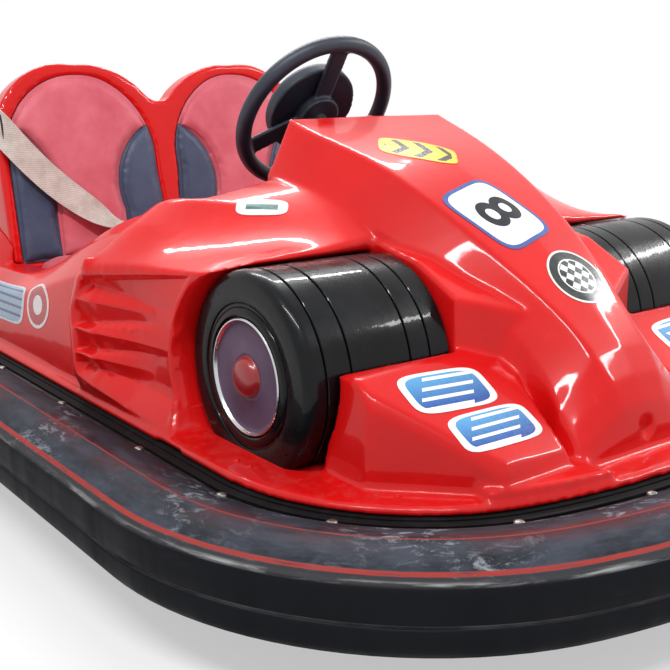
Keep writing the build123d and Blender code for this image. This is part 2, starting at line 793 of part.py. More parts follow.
def seat_cushion():
    """Seat cushion on the car's left."""
    high = bench_height + cushion_thickness
    front = bench_front + cushion_inset
    far = car_width
    cushion = block(pad_inner_x, rail_inner_x - 2 * cushion_inset, front, far, bench_height, high)
    cushion &= seat_plane() * block(0, far, -far, far, pad_proud + fit_gap, far)
    return fillet(cushion.edges().group_by(Axis.Z)[-1], cushion_round)


def bolster_strip(inner):
    """Side strip of a seat's padding: the outer one, or the inner one beside the middle."""
    edge = seat_half_width
    low = -seat_drop - 20
    if inner:
        edges = [
            Line((0, low), (0, 231)),
            Line((0, 231), (43, 231)),
            ThreePointArc((43, 231), (98, 181), (114, 55)),
            Line((114, 55), (114, low)),
            Line((114, low), (0, low)),
        ]
    else:
        edges = [
            Line((edge, low), (edge, 236)),
            Line((edge, 236), (edge - 30, 236)),
            ThreePointArc((edge - 30, 236), (edge - 83, 180), (edge - 106, 50)),
            Line((edge - 106, 50), (edge - 106, low)),
            Line((edge - 106, low), (edge, low)),
        ]
    return extrude(make_face(edges), 200, both=True)


def seat_padding():
    """Back pad, inner bolster and outer bolster on the car's left."""
    pad = extrude(pad_outline(fit_gap), pad_proud + pad_recess)
    pad = Pos(0, 0, -pad_recess) * pad
    inner = pad & bolster_strip(True)
    outer = pad & bolster_strip(False)
    centre = pad - bolster_strip(True) - bolster_strip(False)
    return [seat_plane() * shape for shape in (centre, inner, outer)]


def on_seat(x, z):
    """Point of the seat plane, as (across, up the back), that lies at x and height z."""
    return Vector(x, (z - seat_foot_z) / cos(radians(seat_recline)))


def belt(top, low):
    """Flat webbing on a seat's padding between two (x, z) points."""
    start, end = on_seat(*top), on_seat(*low)
    run = end - start
    height = pad_proud + fit_gap + belt_thickness / 2
    middle = (start + end) / 2
    strap = Rot(0, 0, degrees(atan2(run.Y, run.X))) * Box(run.length, belt_width, belt_thickness)
    return seat_plane() * Pos(middle.X, middle.Y, height) * strap


def belt_anchor():
    """Plate on the hood's edge that holds the top of the webbing, on the car's left."""
    place = on_seat(anchor_x, anchor_z)
    height = pad_proud + anchor_thickness
    plate = Pos(place.X, place.Y, height / 2) * Box(anchor_width, anchor_length, height)
    return seat_plane() * plate


def belt_buckle():
    """Buckle on its stalk between the seats, beside the fastened webbing."""
    height = pad_proud + fit_gap
    low, high = on_seat(0, bench_height), on_seat(0, bench_height + cushion_thickness + stalk_rise)
    half = stalk_width / 2
    stalk = block(-half, half, low.Y - buckle_thickness, high.Y, fit_gap, height + buckle_thickness / 2)
    half = buckle_width / 2
    head = block(-half, half, high.Y - fit_gap, high.Y + buckle_length, height, height + buckle_thickness)
    buckle = seat_plane() * (stalk + head)
    return buckle - block(-half, half, 0, car_length, 0, bench_height)


def save(name, shape):
    solids = shape.solids()
    out = solids[0] if len(solids) == 1 else Compound(solids)
    out.label = name
    export_step(out, f"parts/{name}.step")
    print(name, len(solids), round(sum(s.volume for s in solids) / 1e6, 2))


def save_pair(name, shape):
    """Write a part of the car's left side and its mirror image on the right."""
    save(f"{name}_left", shape)
    save(f"{name}_right", mirror(shape, about=Plane.YZ))


def main():
    os.makedirs("parts", exist_ok=True)
    save("bumper", bumper())
    save("bumper_carrier", bumper_carrier())
    save("skirt_band", skirt_band())
    save("floor_pan", floor_pan())
    save("chassis_frame", chassis_frame())
    save("battery_pack", battery_pack())
    front, sides, rear = body_parts()
    save("body_front", front)
    left = sides & block(0, car_width, -car_length, car_length, 0, car_width)
    save_pair("body_side", left)
    save("body_rear", rear)
    save_pair("mock_tyre", mock_tyre())
    save_pair("mock_disc", mock_disc())
    save("drive_bridge", drive_bridge())
    save("steering_gearbox", steering_gearbox())
    save("steering_column", steering_column())
    save("column_bracket", column_bracket())
    save("steering_wheel", steering_wheel())
    save("steering_pad", steering_pad())
    save("drive_fork", drive_fork())
    save("drive_motor", drive_motor())
    drive_axle = drive_wheel_width + 2 * (move_gap + fork_plate)
    tyre, hub = rolling_wheel(0, drive_y, drive_wheel_radius, drive_wheel_width, 62, drive_axle)
    save("drive_tyre", tyre)
    save("drive_hub", hub)
    rear_axle = rear_wheel_width + 2 * (move_gap + bracket_plate)
    tyre, hub = rolling_wheel(rear_wheel_x, rear_wheel_y, rear_wheel_radius, rear_wheel_width, 42, rear_axle)
    save_pair("rear_tyre", tyre)
    save_pair("rear_hub", hub)
    save_pair("rear_bracket", rear_bracket())
    save("accelerator", accelerator())
    save("seat_shell", seat_shell())
    save_pair("seat_cushion", seat_cushion())
    pad, inner, outer = seat_padding()
    save_pair("back_pad", pad)
    save_pair("inner_bolster", inner)
    save_pair("outer_bolster", outer)
    hang_x = anchor_x - belt_reach
    high, end_x, end_z = belt_worn
    save("belt_right", belt((-hang_x, high), (end_x, end_z)))
    high, low = belt_hanging
    save("belt_left", belt((hang_x, high), (hang_x, low)))
    save_pair("belt_anchor", belt_anchor())
    save("belt_buckle", belt_buckle())


if __name__ == "__main__":
    main()
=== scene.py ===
from math import atan2, cos, hypot, pi, radians, sin

import bmesh
import bpy
from mathutils import Matrix, Vector
from mathutils.bvhtree import BVHTree


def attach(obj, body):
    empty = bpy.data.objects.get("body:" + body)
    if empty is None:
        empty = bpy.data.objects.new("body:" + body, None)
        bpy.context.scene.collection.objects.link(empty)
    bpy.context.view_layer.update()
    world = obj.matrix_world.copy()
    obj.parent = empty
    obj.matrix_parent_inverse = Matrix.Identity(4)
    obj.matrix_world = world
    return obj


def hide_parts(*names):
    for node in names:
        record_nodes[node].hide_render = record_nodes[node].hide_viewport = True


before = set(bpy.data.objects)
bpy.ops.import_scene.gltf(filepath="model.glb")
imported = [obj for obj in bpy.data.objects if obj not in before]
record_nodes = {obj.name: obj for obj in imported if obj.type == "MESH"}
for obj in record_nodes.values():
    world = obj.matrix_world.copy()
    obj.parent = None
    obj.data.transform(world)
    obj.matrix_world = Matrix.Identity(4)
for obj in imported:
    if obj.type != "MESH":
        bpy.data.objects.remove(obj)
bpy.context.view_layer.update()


# Camera: it stands in front of the car's right side, as high as the steering wheel, where the
# photo was taken from.
camera_place = Vector((-1.121, -1.625, 0.655))
camera_turn, camera_dip, camera_lean = radians(37.1525), radians(13.8207), radians(-0.2939)
ahead = Vector((sin(camera_turn) * cos(camera_dip), cos(camera_turn) * cos(camera_dip), -sin(camera_dip)))
level = Vector((cos(camera_turn), -sin(camera_turn), 0))
over = level.cross(ahead)
across = level * cos(camera_lean) + over * sin(camera_lean)
upward = over * cos(camera_lean) - level * sin(camera_lean)
camera_data = bpy.data.cameras.new("photo_camera")
lens, sensor = 56.17, 36
camera_data.lens, camera_data.sensor_width = lens, sensor
camera = bpy.data.objects.new("photo_camera", camera_data)
bpy.context.collection.objects.link(camera)
axes = Matrix((across, upward, -ahead)).transposed()
camera.matrix_world = Matrix.Translation(camera_place) @ axes.to_4x4()
scene = bpy.context.scene
scene.camera = camera
scene.view_settings.view_transform = "Standard"


def colour(code):
    """Turns an sRGB hex colour to the linear values that a socket takes."""
    parts = [int(code[i:i + 2], 16) / 255 for i in (0, 2, 4)]
    return (*[c / 12.92 if c <= 0.04045 else ((c + 0.055) / 1.055) ** 2.4 for c in parts], 1)


def feed(node, inputs):
    """Gives each input a value, a socket or another node's result."""
    for key, value in inputs.items():
        if isinstance(value, bpy.types.Node):
            value = value.outputs[2 if value.bl_idname == "ShaderNodeMix" else 0]
        if isinstance(value, bpy.types.NodeSocket):
            node.id_data.links.new(value, node.inputs[key])
        else:
            node.inputs[key].default_value = value


def add_node(tree, kind, inputs=None, **settings):
    """Adds a node with its settings and feeds its inputs."""
    made = tree.nodes.new("ShaderNode" + kind)
    if kind == "Mix":
        made.data_type = "RGBA"
    for key, value in settings.items():
        setattr(made, key, value)
    feed(made, inputs or {})
    return made


def start_finish(name, base, roughness, **sockets):
    """Starts a material on Blender's own shader and returns it with its tree and shader."""
    material = bpy.data.materials.new(name)
    material.use_nodes = True
    shader = material.node_tree.nodes["Principled BSDF"]
    feed(shader, {"Base Color": colour(base), "Roughness": roughness})
    feed(shader, {key.replace("_", " "): value for key, value in sockets.items()})
    return material, material.node_tree, shader


# Floor and light: a plain pale studio floor that runs past the picture, a white surround, and
# three broad soft lamps like the hall's tube lights.
def looked_at(tree):
    """One for what the camera sees, straight, mirrored or through glass, and none for other light."""
    rays = add_node(tree, "LightPath").outputs
    seen = add_node(tree, "Math", {0: rays["Is Camera Ray"], 1: rays["Is Glossy Ray"]}, operation="ADD")
    seen = {0: seen, 1: rays["Is Transmission Ray"]}
    return add_node(tree, "Math", seen, operation="ADD", use_clamp=True)


bpy.ops.object.select_all(action="DESELECT")
bpy.ops.mesh.primitive_plane_add(size=30)
floor = bpy.context.object
floor.name = "studio_floor"
# painted boards, even and without shine
floor_finish, tree, shader = start_finish("painted_floor", "F0F0F0", 0.9)
# what the camera sees of it is mostly plain white, more so further out, and it keeps the shadow
seen = looked_at(tree)
place = add_node(tree, "TexCoord").outputs["Object"]
reach = add_node(tree, "VectorMath", {0: place}, operation="LENGTH")
whiter = add_node(tree, "MapRange", {0: reach.outputs["Value"], 1: 1.3, 2: 3.2, 3: 0.5, 4: 1})
whiter = add_node(tree, "Math", {0: whiter, 1: seen}, operation="MULTIPLY")
# none of it under the car, where the floor lies in the dark
plan = add_node(tree, "VectorMath", {0: place, 1: (1.65, 1, 0)}, operation="MULTIPLY")
plan = add_node(tree, "VectorMath", {0: plan}, operation="LENGTH")
under = add_node(tree, "MapRange", {0: plan.outputs["Value"], 1: 0.6, 2: 0.95})
whiter = add_node(tree, "Math", {0: whiter, 1: under}, operation="MULTIPLY")
white = add_node(tree, "Emission", {"Color": (1, 1, 1, 1), "Strength": 1})
blend = add_node(tree, "MixShader", {0: whiter, 1: shader, 2: white})
feed(tree.nodes["Material Output"], {"Surface": blend})
floor.data.materials.append(floor_finish)

world = bpy.data.worlds.new("studio")
scene.world = world
world.use_nodes = True
tree = world.node_tree
level_of_light = add_node(tree, "MapRange", {0: looked_at(tree), 3: 0.38, 4: 1})
feed(tree.nodes["Background"], {"Color": (1, 1, 1, 1), "Strength": level_of_light})

for name, place, target, width, height, watts in (
    ("lamp_left", (-1.6, -1.6, 3.3), (0, 0, 0.3), 3.0, 0.16, 96),
    ("lamp_back", (1.0, 2.0, 3.2), (0, 0, 0.4), 3.0, 0.16, 100),
    ("lamp_right", (3.0, -1.6, 2.6), (0, 0, 0.3), 3.0, 0.16, 60),
):
    lamp_data = bpy.data.lights.new(name, "AREA")
    lamp_data.shape, lamp_data.size, lamp_data.size_y, lamp_data.energy = "RECTANGLE", width, height, watts
    lamp = bpy.data.objects.new(name, lamp_data)
    bpy.context.collection.objects.link(lamp)
    lamp.location = place
    lamp.rotation_mode = "QUATERNION"
    lamp.rotation_quaternion = (Vector(target) - Vector(place)).to_track_quat("-Z", "Y")


# Moulded body: glass-fibre laid up in one mould, red gelcoat outside, so every edge is a soft
# radius. The solids are joined, remeshed and relaxed to give it those radii.
def select_only(*objects):
    """Selects these objects and nothing else, the first one active."""
    bpy.ops.object.select_all(action="DESELECT")
    for piece in objects:
        piece.select_set(True)
    bpy.context.view_layer.objects.active = objects[0]


def apply_modifier(piece, kind, **settings):
    """Adds a modifier, gives it its settings and applies it."""
    made = piece.modifiers.new(kind.lower(), kind)
    for key, value in settings.items():
        setattr(made, key, value)
    select_only(piece)
    bpy.ops.object.modifier_apply(modifier=made.name)


def copy_of_nodes(name, *nodes):
    """Joins copies of CAD nodes into one new piece, with their loose triangles merged."""
    copies = []
    for node in nodes:
        copy = record_nodes[node].copy()
        copy.data = record_nodes[node].data.copy()
        bpy.context.collection.objects.link(copy)
        for key in list(copy.keys()):
            del copy[key]
        copies.append(copy)
    select_only(*copies)
    if len(copies) > 1:
        bpy.ops.object.join()
    piece = bpy.context.view_layer.objects.active
    piece.name = name
    bpy.ops.object.mode_set(mode="EDIT")
    bpy.ops.mesh.select_all(action="SELECT")
    bpy.ops.mesh.remove_doubles(threshold=0.00005)
    bpy.ops.object.mode_set(mode="OBJECT")
    return piece


def relax(piece, voxel, passes):
    """Remeshes a piece evenly and rounds its edges, as a mould's radii do."""
    apply_modifier(piece, "REMESH", mode="VOXEL", voxel_size=voxel, adaptivity=0)
    apply_modifier(piece, "SMOOTH", factor=0.5, iterations=passes)
    select_only(piece)
    bpy.ops.object.shade_smooth()


# Behind each moulded tyre the side is a pod whose face is hollowed, with three gills in it. The
# face is first filled plain, out to these rows, and the hollow is pressed in after the remesh.
pod_rows = (  # y, then x and z at the deck, foot's edge, hollow's foot, mid height and shoulder, mm
    (-475, 462, 172, 468, 178, 440, 222, 436, 305, 434, 410),
    (-375, 466, 172, 474, 178, 450, 222, 449, 305, 448, 402),
    (-262, 472, 172, 481, 184, 464, 222, 466, 305, 467, 395),
    (-160, 476, 172, 490, 198, 489, 222, 492, 305, 491, 380),
    (-102, 478, 172, 491, 208, 492, 222, 492, 305, 491, 368),
)
pod_y, pod_z, pod_x = (-475, -95), (170, 410), 425
pod_rear, pod_rear_lean, lean_heights = -102, 35, (305, 368)
hollow_top, hollow_top_slope, hollow_foot = 366, 0.13, 224
arch_y, arch_z, arch_radius = -506, 275, 147
# each gill's edge z, its rise behind and ahead, and its tip's y, then the hollow's y and depth
gills = ((331, 27, 8, -310), (283, 5, 32, -375), (242, 5, 27, -300))
hollow_depths = ((-475, 3), (-375, 10), (-262, 17), (-118, 20))


def between(rows, at):
    """Interpolates a table, whose first column rises, at a value of that column."""
    for one, two in zip(rows, rows[1:]):
        if at <= two[0]:
            break
    part = min(max((at - one[0]) / (two[0] - one[0]), 0), 1)
    return [a + (b - a) * part for a, b in zip(one, two)]


def smooth_step(low, high, value):
    """Rises softly from none at low to one at high."""
    part = min(max((value - low) / (high - low), 0), 1)
    return part * part * (3 - 2 * part)


def on_pod(place):
    """Whether a point, in mm, lies on the outer face of a pod."""
    if not (pod_y[0] < place.y < pod_y[1] and pod_z[0] < place.z < pod_z[1] and abs(place.x) > pod_x):
        return False
    row = between(pod_rows, place.y)
    face = [(row[i + 1], row[i]) for i in range(1, 11, 2)]
    return abs(place.x) > between(face, place.z)[1] - 12


def hollow_at(y, z):
    """How deep the hollow is at a place, and the height that a point by a gill's edge moves to."""
    ahead_of_rear = min(max((-125 - y) / 180, 0), 1)
    floor_depth = between(hollow_depths, y)[1]
    top = hollow_top + max(-145 - y, 0) * hollow_top_slope
    knots = [(top, 0), (top - 7, floor_depth * 0.5)]
    for edge, rise_behind, rise_ahead, tip in gills:
        knots.append((edge + rise_behind + (rise_ahead - rise_behind) * ahead_of_rear, floor_depth))
        proud = min(max((y - tip) / (-125 - tip), 0), 1) ** 0.7
        knots.append((edge - 3 * ahead_of_rear, floor_depth * (1 - 0.95 * proud)))
    knots += [(hollow_foot - 12 * ahead_of_rear, floor_depth), (between(pod_rows, y)[4] + 2, 0)]
    knots.reverse()
    for knot in knots[1:-1]:
        if abs(z - knot[0]) < 1.1:
            z = knot[0]
    deep = between(knots, z)[1]
    rear = pod_rear - pod_rear_lean * smooth_step(*lean_heights, z)
    deep *= 1 - smooth_step(rear - 30, rear - 14, y)
    deep *= smooth_step(arch_radius + 5, arch_radius + 14, hypot(y - arch_y, z - arch_z))
    return deep, z


bpy.ops.object.select_all(action="DESELECT")
bpy.ops.mesh.primitive_grid_add(x_subdivisions=4, y_subdivisions=4, size=1)
filler = bpy.context.object
for vertex in filler.data.vertices:
    row, column = pod_rows[round((vertex.co.x + 0.5) * 4)], round((vertex.co.y + 0.5) * 4)
    x, z = row[1 + 2 * column], row[2 + 2 * column]
    lean = pod_rear_lean * smooth_step(*lean_heights, z) if row is pod_rows[-1] else 0
    vertex.co = Vector((x, row[0] - lean, z)) / 1000
bpy.ops.object.mode_set(mode="EDIT")
bpy.ops.mesh.select_all(action="SELECT")
bpy.ops.mesh.extrude_region_move(TRANSFORM_OT_translate={"value": (-0.05, 0, 0)})
bpy.ops.mesh.select_all(action="SELECT")
bpy.ops.mesh.normals_make_consistent(inside=False)
bpy.ops.object.mode_set(mode="OBJECT")
bpy.ops.mesh.primitive_cylinder_add(
    vertices=96, radius=arch_radius / 1000, depth=0.3, rotation=(0, pi / 2, 0),
    location=(0.45, arch_y / 1000, arch_z / 1000))
arch = bpy.context.object
apply_modifier(filler, "BOOLEAN", operation="DIFFERENCE", object=arch)
bpy.data.objects.remove(arch)
apply_modifier(filler, "MIRROR", use_axis=(True, False, False))

moulding_voxel = 0.004
body_nodes = ("body_front", "body_side_left", "body_side_right", "body_rear")
body = copy_of_nodes("moulded_body", *body_nodes)
select_only(body, filler)
bpy.ops.object.join()
relax(body, moulding_voxel, passes=8)
bpy.ops.object.mode_set(mode="EDIT")
bpy.ops.mesh.select_all(action="DESELECT")
shape = bmesh.from_edit_mesh(body.data)
for face in shape.faces:
    face.select = on_pod(face.calc_center_median() * 1000)
bmesh.update_edit_mesh(body.data)
bpy.ops.mesh.subdivide(number_cuts=1)
bpy.ops.object.mode_set(mode="OBJECT")
hollowed = []
for vertex in body.data.vertices:
    place = vertex.co * 1000
    if on_pod(place):
        deep, height = hollow_at(place.y, place.z)
        if deep > 0:
            vertex.co.x -= deep / 1000 if place.x > 0 else -deep / 1000
            vertex.co.z = height / 1000
            hollowed.append(vertex.index)
body.vertex_groups.new(name="hollow").add(hollowed, 1, "REPLACE")
apply_modifier(body, "SMOOTH", factor=0.5, iterations=2, vertex_group="hollow")
# the hollow's upper rear corner and the pod's front foot are rounded further
corner = []
for vertex in body.data.vertices:
    x, y, z = abs(vertex.co.x), vertex.co.y, vertex.co.z
    if x > 0.415 and -0.21 < y < -0.09 and 0.362 < z < 0.42 or x > 0.42 and -0.44 < y < -0.37 and z < 0.205:
        corner.append(vertex.index)
body.vertex_groups.new(name="corner").add(corner, 1, "REPLACE")
apply_modifier(body, "SMOOTH", factor=0.5, iterations=48, vertex_group="corner")
body.vertex_groups.clear()
share_kept = 0.262  # so that the body stays under 200,000 triangles
apply_modifier(body, "DECIMATE", ratio=share_kept)

# gelcoat straight from a polished mould: a deep red under a clear glossy skin
gelcoat, tree, shader = start_finish(
    "red_gelcoat", "D4141A", 0.34, IOR=1.5, Specular_IOR_Level=0.1,
    Coat_Weight=0.4, Coat_Roughness=0.05, Coat_IOR=1.5)
place = add_node(tree, "TexCoord").outputs["Object"]
# the colour bleaches in clouds of 150 to 300 mm
cloud = add_node(tree, "TexNoise", {"Vector": place, "Scale": 4.5, "Detail": 3})
cloud = add_node(tree, "MapRange", {0: cloud, 1: 0.3, 2: 0.7})
skin = add_node(tree, "Mix", {0: cloud, 6: colour("CE0F11"), 7: colour("DF1515")})
# grey dust lies in specks on what faces up, more of it low down
facing = add_node(tree, "NewGeometry").outputs["Normal"]
facing = add_node(tree, "SeparateXYZ", {0: facing}).outputs["Z"]
facing = add_node(tree, "MapRange", {0: facing, 1: 0.2, 2: 1})
height = add_node(tree, "SeparateXYZ", {0: place}).outputs["Z"]
low = add_node(tree, "MapRange", {0: height, 1: 0.17, 2: 0.19, 3: 0.18, 4: 0.05})
speck = add_node(tree, "TexNoise", {"Vector": place, "Scale": 48, "Detail": 8, "Roughness": 0.75})
speck = add_node(tree, "MapRange", {0: speck, 1: 0.5, 2: 0.72})
dusty = add_node(tree, "Math", {0: speck, 1: facing}, operation="MULTIPLY")
dusty = add_node(tree, "Math", {0: dusty, 1: low}, operation="MULTIPLY")
skin = add_node(tree, "Mix", {0: dusty, 6: skin, 7: colour("A8837C")})
# hair scratches from shoes and buckles, a few tenths of a millimetre wide, drawn at 1 mm
scratch = add_node(tree, "Mapping", {0: place, "Rotation": (0.5, 0.3, 0.8), "Scale": (7, 150, 90)})
scratch = add_node(tree, "TexNoise", {"Vector": scratch, "Scale": 1, "Detail": 4, "Roughness": 0.6})
scratch = add_node(tree, "MapRange", {0: scratch, 1: 0.69, 2: 0.74, 3: 0, 4: 0.35})
skin = add_node(tree, "Mix", {0: scratch, 6: skin, 7: colour("E2554F")})
dull = add_node(tree, "Math", {0: dusty, 1: scratch}, operation="ADD")
dull = add_node(tree, "MapRange", {0: dull, 1: 0, 2: 0.5, 3: 0.3, 4: 0.6})
# the mould's own waviness, 25 to 40 mm long and a few hundredths deep
wavy = add_node(tree, "TexNoise", {"Vector": place, "Scale": 30, "Detail": 1})
wavy = add_node(tree, "Bump", {"Height": wavy, "Strength": 0.12, "Distance": 0.002})
feed(shader, {"Base Color": skin, "Roughness": dull, "Normal": wavy, "Coat Normal": wavy})
body.data.materials.clear()
body.data.materials.append(gelcoat)
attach(body, "chassis")
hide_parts(*body_nodes)

seat = copy_of_nodes("moulded_seat", "seat_shell")
relax(seat, moulding_voxel, passes=14)
apply_modifier(seat, "DECIMATE", ratio=0.45)
seat.data.materials.clear()
seat.data.materials.append(gelcoat)
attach(seat, "chassis")
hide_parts("seat_shell")


# Bumper: one thick extruded rubber ring round the car, black on its side, grey with dust and
# rub marks on top, with two red lines laid in the top and a groove round the side.
def new_mesh_piece(name):
    """Names the primitive just added and puts its object at the origin."""
    piece = bpy.context.object
    piece.name = piece.data.name = name
    bpy.ops.object.transform_apply(location=True, rotation=True, scale=True)
    return piece


def shade(piece, degrees=35):
    """Shades a piece smooth, but for edges sharper than this."""
    select_only(piece)
    bpy.ops.object.shade_smooth_by_angle(angle=radians(degrees))


plan_half_width, corner_x, corner_y, corner_radius = 0.65, 0.17, 0.5472, 0.48
end_centre_y, end_radius = 0.074, 1.124
corner_sweep = pi / 2 - atan2(corner_x, corner_y + end_centre_y)

bumper_section = (  # inset and height, mm
    (30, 70), (20, 70.5), (10, 75), (4.5, 83), (2.5, 92), (2, 108), (3.4, 110), (7.5, 111.4), (8, 112.5),
    (7.5, 113.6), (3.4, 115), (1.6, 117), (0.6, 130), (0, 148), (0.8, 153.5), (3, 157), (6, 159.5),
    (11.4, 162), (12.2, 163.2), (13.4, 163.7), (17, 165), (20.6, 166.6), (21.8, 166.8), (22.6, 166.4),
    (34, 171.6), (48, 175.6), (60, 177.3), (71.6, 177.8), (72.4, 178.3), (75.2, 178.3), (76, 177.7),
    (92, 176.4), (110, 173.2), (126, 166.4), (133, 161.8), (137.4, 158.6), (139, 155), (139, 92),
    (137, 87), (133, 82), (125, 72.5), (120, 70.4), (112, 70),
)
bpy.ops.object.select_all(action="DESELECT")
bpy.ops.mesh.primitive_circle_add(vertices=len(bumper_section), radius=0.1)
bumper = new_mesh_piece("rubber_bumper")
for vertex, (inset, height) in zip(bumper.data.vertices, bumper_section):
    vertex.co = (plan_half_width - inset / 1000, 0, height / 1000)
bpy.ops.object.mode_set(mode="EDIT")
bpy.ops.mesh.select_all(action="SELECT")
for step in range(6):
    bpy.ops.mesh.extrude_region_move(TRANSFORM_OT_translate={"value": (0, -corner_y / 6, 0)})
bpy.ops.mesh.spin(steps=22, angle=corner_sweep, center=(corner_x, -corner_y, 0), axis=(0, 0, 1))
bpy.ops.mesh.spin(steps=8, angle=pi / 2 - corner_sweep, center=(0, end_centre_y, 0), axis=(0, 0, 1))
bpy.ops.object.mode_set(mode="OBJECT")
# one quarter is mirrored twice, and the points that meet on the car's middle lines are merged
for vertex in bumper.data.vertices:
    if abs(vertex.co.x) < 0.0005:
        vertex.co.x = 0
apply_modifier(bumper, "MIRROR", use_axis=(True, True, False), merge_threshold=0.0004)
bpy.ops.object.mode_set(mode="EDIT")
bpy.ops.mesh.select_all(action="SELECT")
bpy.ops.mesh.remove_doubles(threshold=0.0003)
bpy.ops.mesh.normals_make_consistent(inside=False)
bpy.ops.object.mode_set(mode="OBJECT")
shade(bumper, 40)


def along_and_in(x, y):
    """How far round the car's plan a point is, and how far in from its edge, in metres."""
    x, y = abs(x), abs(y)
    if y <= corner_y:
        return y, plan_half_width - x
    turn = atan2(y - corner_y, x - corner_x)
    if turn <= corner_sweep:
        return corner_y + corner_radius * turn, corner_radius - hypot(x - corner_x, y - corner_y)
    turn = atan2(y + end_centre_y, x) - corner_sweep
    round_corner = corner_y + corner_radius * corner_sweep
    return round_corner + end_radius * turn, end_radius - hypot(x, y + end_centre_y)


def plan_map(piece):
    """UV map whose first value runs round the car and whose second runs in from its edge."""
    while piece.data.uv_layers:
        piece.data.uv_layers.remove(piece.data.uv_layers[0])
    layer = piece.data.uv_layers.new(name="plan")
    for loop in piece.data.loops:
        place = piece.data.vertices[loop.vertex_index].co
        run, inset = along_and_in(place.x, place.y)
        quarter = (place.x > 0) * 7 + (place.y > 0) * 13
        layer.data[loop.index].uv = (run + quarter, inset)


plan_map(bumper)
rubber, tree, shader = start_finish("extruded_rubber", "1D1F26", 0.62, IOR=1.52, Specular_IOR_Level=0.06)
place = add_node(tree, "TexCoord")
place, unrolled = place.outputs["Object"], place.outputs["UV"]
inset = add_node(tree, "SeparateXYZ", {0: unrolled}).outputs["Y"]
height = add_node(tree, "SeparateXYZ", {0: place}).outputs["Z"]
top = add_node(tree, "MapRange", {0: height, 1: 0.1562, 2: 0.1595})
# dust in patches of 20 to 60 mm, drawn out along the ring
drawn_out = add_node(tree, "Mapping", {0: unrolled, "Scale": (11, 30, 1)})
mottle = add_node(tree, "TexNoise", {"Vector": drawn_out, "Scale": 1, "Detail": 6, "Roughness": 0.65})
mottle = add_node(tree, "MapRange", {0: mottle, 1: 0.38, 2: 0.62})
dust = add_node(tree, "Mix", {0: mottle, 6: colour("212329"), 7: colour("424650")})
# the inner third, next to the body, is darker
inner = add_node(tree, "MapRange", {0: inset, 1: 0.078, 2: 0.104, 3: 0, 4: 0.72})
dust = add_node(tree, "Mix", {0: inner, 6: dust, 7: colour("1F2027")})
# brick-red tint that the lines have shed beside the inner line
shed = add_node(tree, "TexNoise", {"Vector": drawn_out, "Scale": 0.7, "Detail": 4})
near_line = add_node(tree, "MapRange", {0: inset, 1: 0.040, 2: 0.072})
past_line = add_node(tree, "MapRange", {0: inset, 1: 0.076, 2: 0.100, 3: 1, 4: 0})
shed = add_node(tree, "MapRange", {0: shed, 1: 0.42, 2: 0.62, 3: 0, 4: 0.7})
shed = add_node(tree, "Math", {0: shed, 1: near_line}, operation="MULTIPLY")
shed = add_node(tree, "Math", {0: shed, 1: past_line}, operation="MULTIPLY")
dust = add_node(tree, "Mix", {0: shed, 6: dust, 7: colour("5E2E31")})
# pale rub marks, 5 to 15 mm across
rub = add_node(tree, "Mapping", {0: unrolled, "Scale": (34, 62, 1)})
rub = add_node(
    tree, "TexNoise", {"Vector": rub, "Scale": 1, "Detail": 8, "Roughness": 0.72, "Distortion": 0.8})
where = add_node(tree, "TexNoise", {"Vector": unrolled, "Scale": 5.5, "Detail": 2})
where = add_node(tree, "MapRange", {0: where, 1: 0.47, 2: 0.6})
rub = add_node(tree, "MapRange", {0: rub, 1: 0.52, 2: 0.64, 3: 0, 4: 0.85})
rub = add_node(tree, "Math", {0: rub, 1: where}, operation="MULTIPLY")
dust = add_node(tree, "Mix", {0: rub, 6: dust, 7: colour("8C9098")})
# the strip outside the outer line is browner, and its edge is rubbed pale in places
edge = add_node(tree, "MapRange", {0: inset, 1: 0.012, 2: 0.014, 3: 0.8, 4: 0})
dust = add_node(tree, "Mix", {0: edge, 6: dust, 7: colour("3D3B3D")})
worn = add_node(tree, "Mapping", {0: unrolled, "Scale": (7, 90, 1)})
worn = add_node(tree, "TexNoise", {"Vector": worn, "Scale": 1, "Detail": 5, "Roughness": 0.6})
worn = add_node(tree, "MapRange", {0: worn, 1: 0.5, 2: 0.62})
rim_low = add_node(tree, "MapRange", {0: inset, 1: 0.0005, 2: 0.0025})
rim_high = add_node(tree, "MapRange", {0: inset, 1: 0.005, 2: 0.010, 3: 1, 4: 0})
worn = add_node(tree, "Math", {0: worn, 1: rim_low}, operation="MULTIPLY")
worn = add_node(tree, "Math", {0: worn, 1: rim_high}, operation="MULTIPLY")
dust = add_node(tree, "Mix", {0: worn, 6: dust, 7: colour("A3A4A4")})
# the two red lines: distance from each line's middle, less where it is worn
broken = add_node(tree, "Mapping", {0: unrolled, "Scale": (26, 260, 1)})
broken = add_node(tree, "TexNoise", {"Vector": broken, "Scale": 1, "Detail": 4})
for middle, half, code, kept in ((0.0172, 0.0036, "9A3833", 0.93), (0.0738, 0.0020, "8E3A35", 0.85)):
    off = add_node(tree, "Math", {0: inset, 1: middle}, operation="SUBTRACT")
    off = add_node(tree, "Math", {0: off}, operation="ABSOLUTE")
    on_line = add_node(tree, "MapRange", {0: off, 1: half, 2: half - 0.0008, 3: 0, 4: kept})
    left = add_node(tree, "MapRange", {0: broken, 1: 0.28, 2: 0.46, 3: 0.3, 4: 1})
    on_line = add_node(tree, "Math", {0: on_line, 1: left}, operation="MULTIPLY")
    dust = add_node(tree, "Mix", {0: on_line, 6: dust, 7: colour(code)})
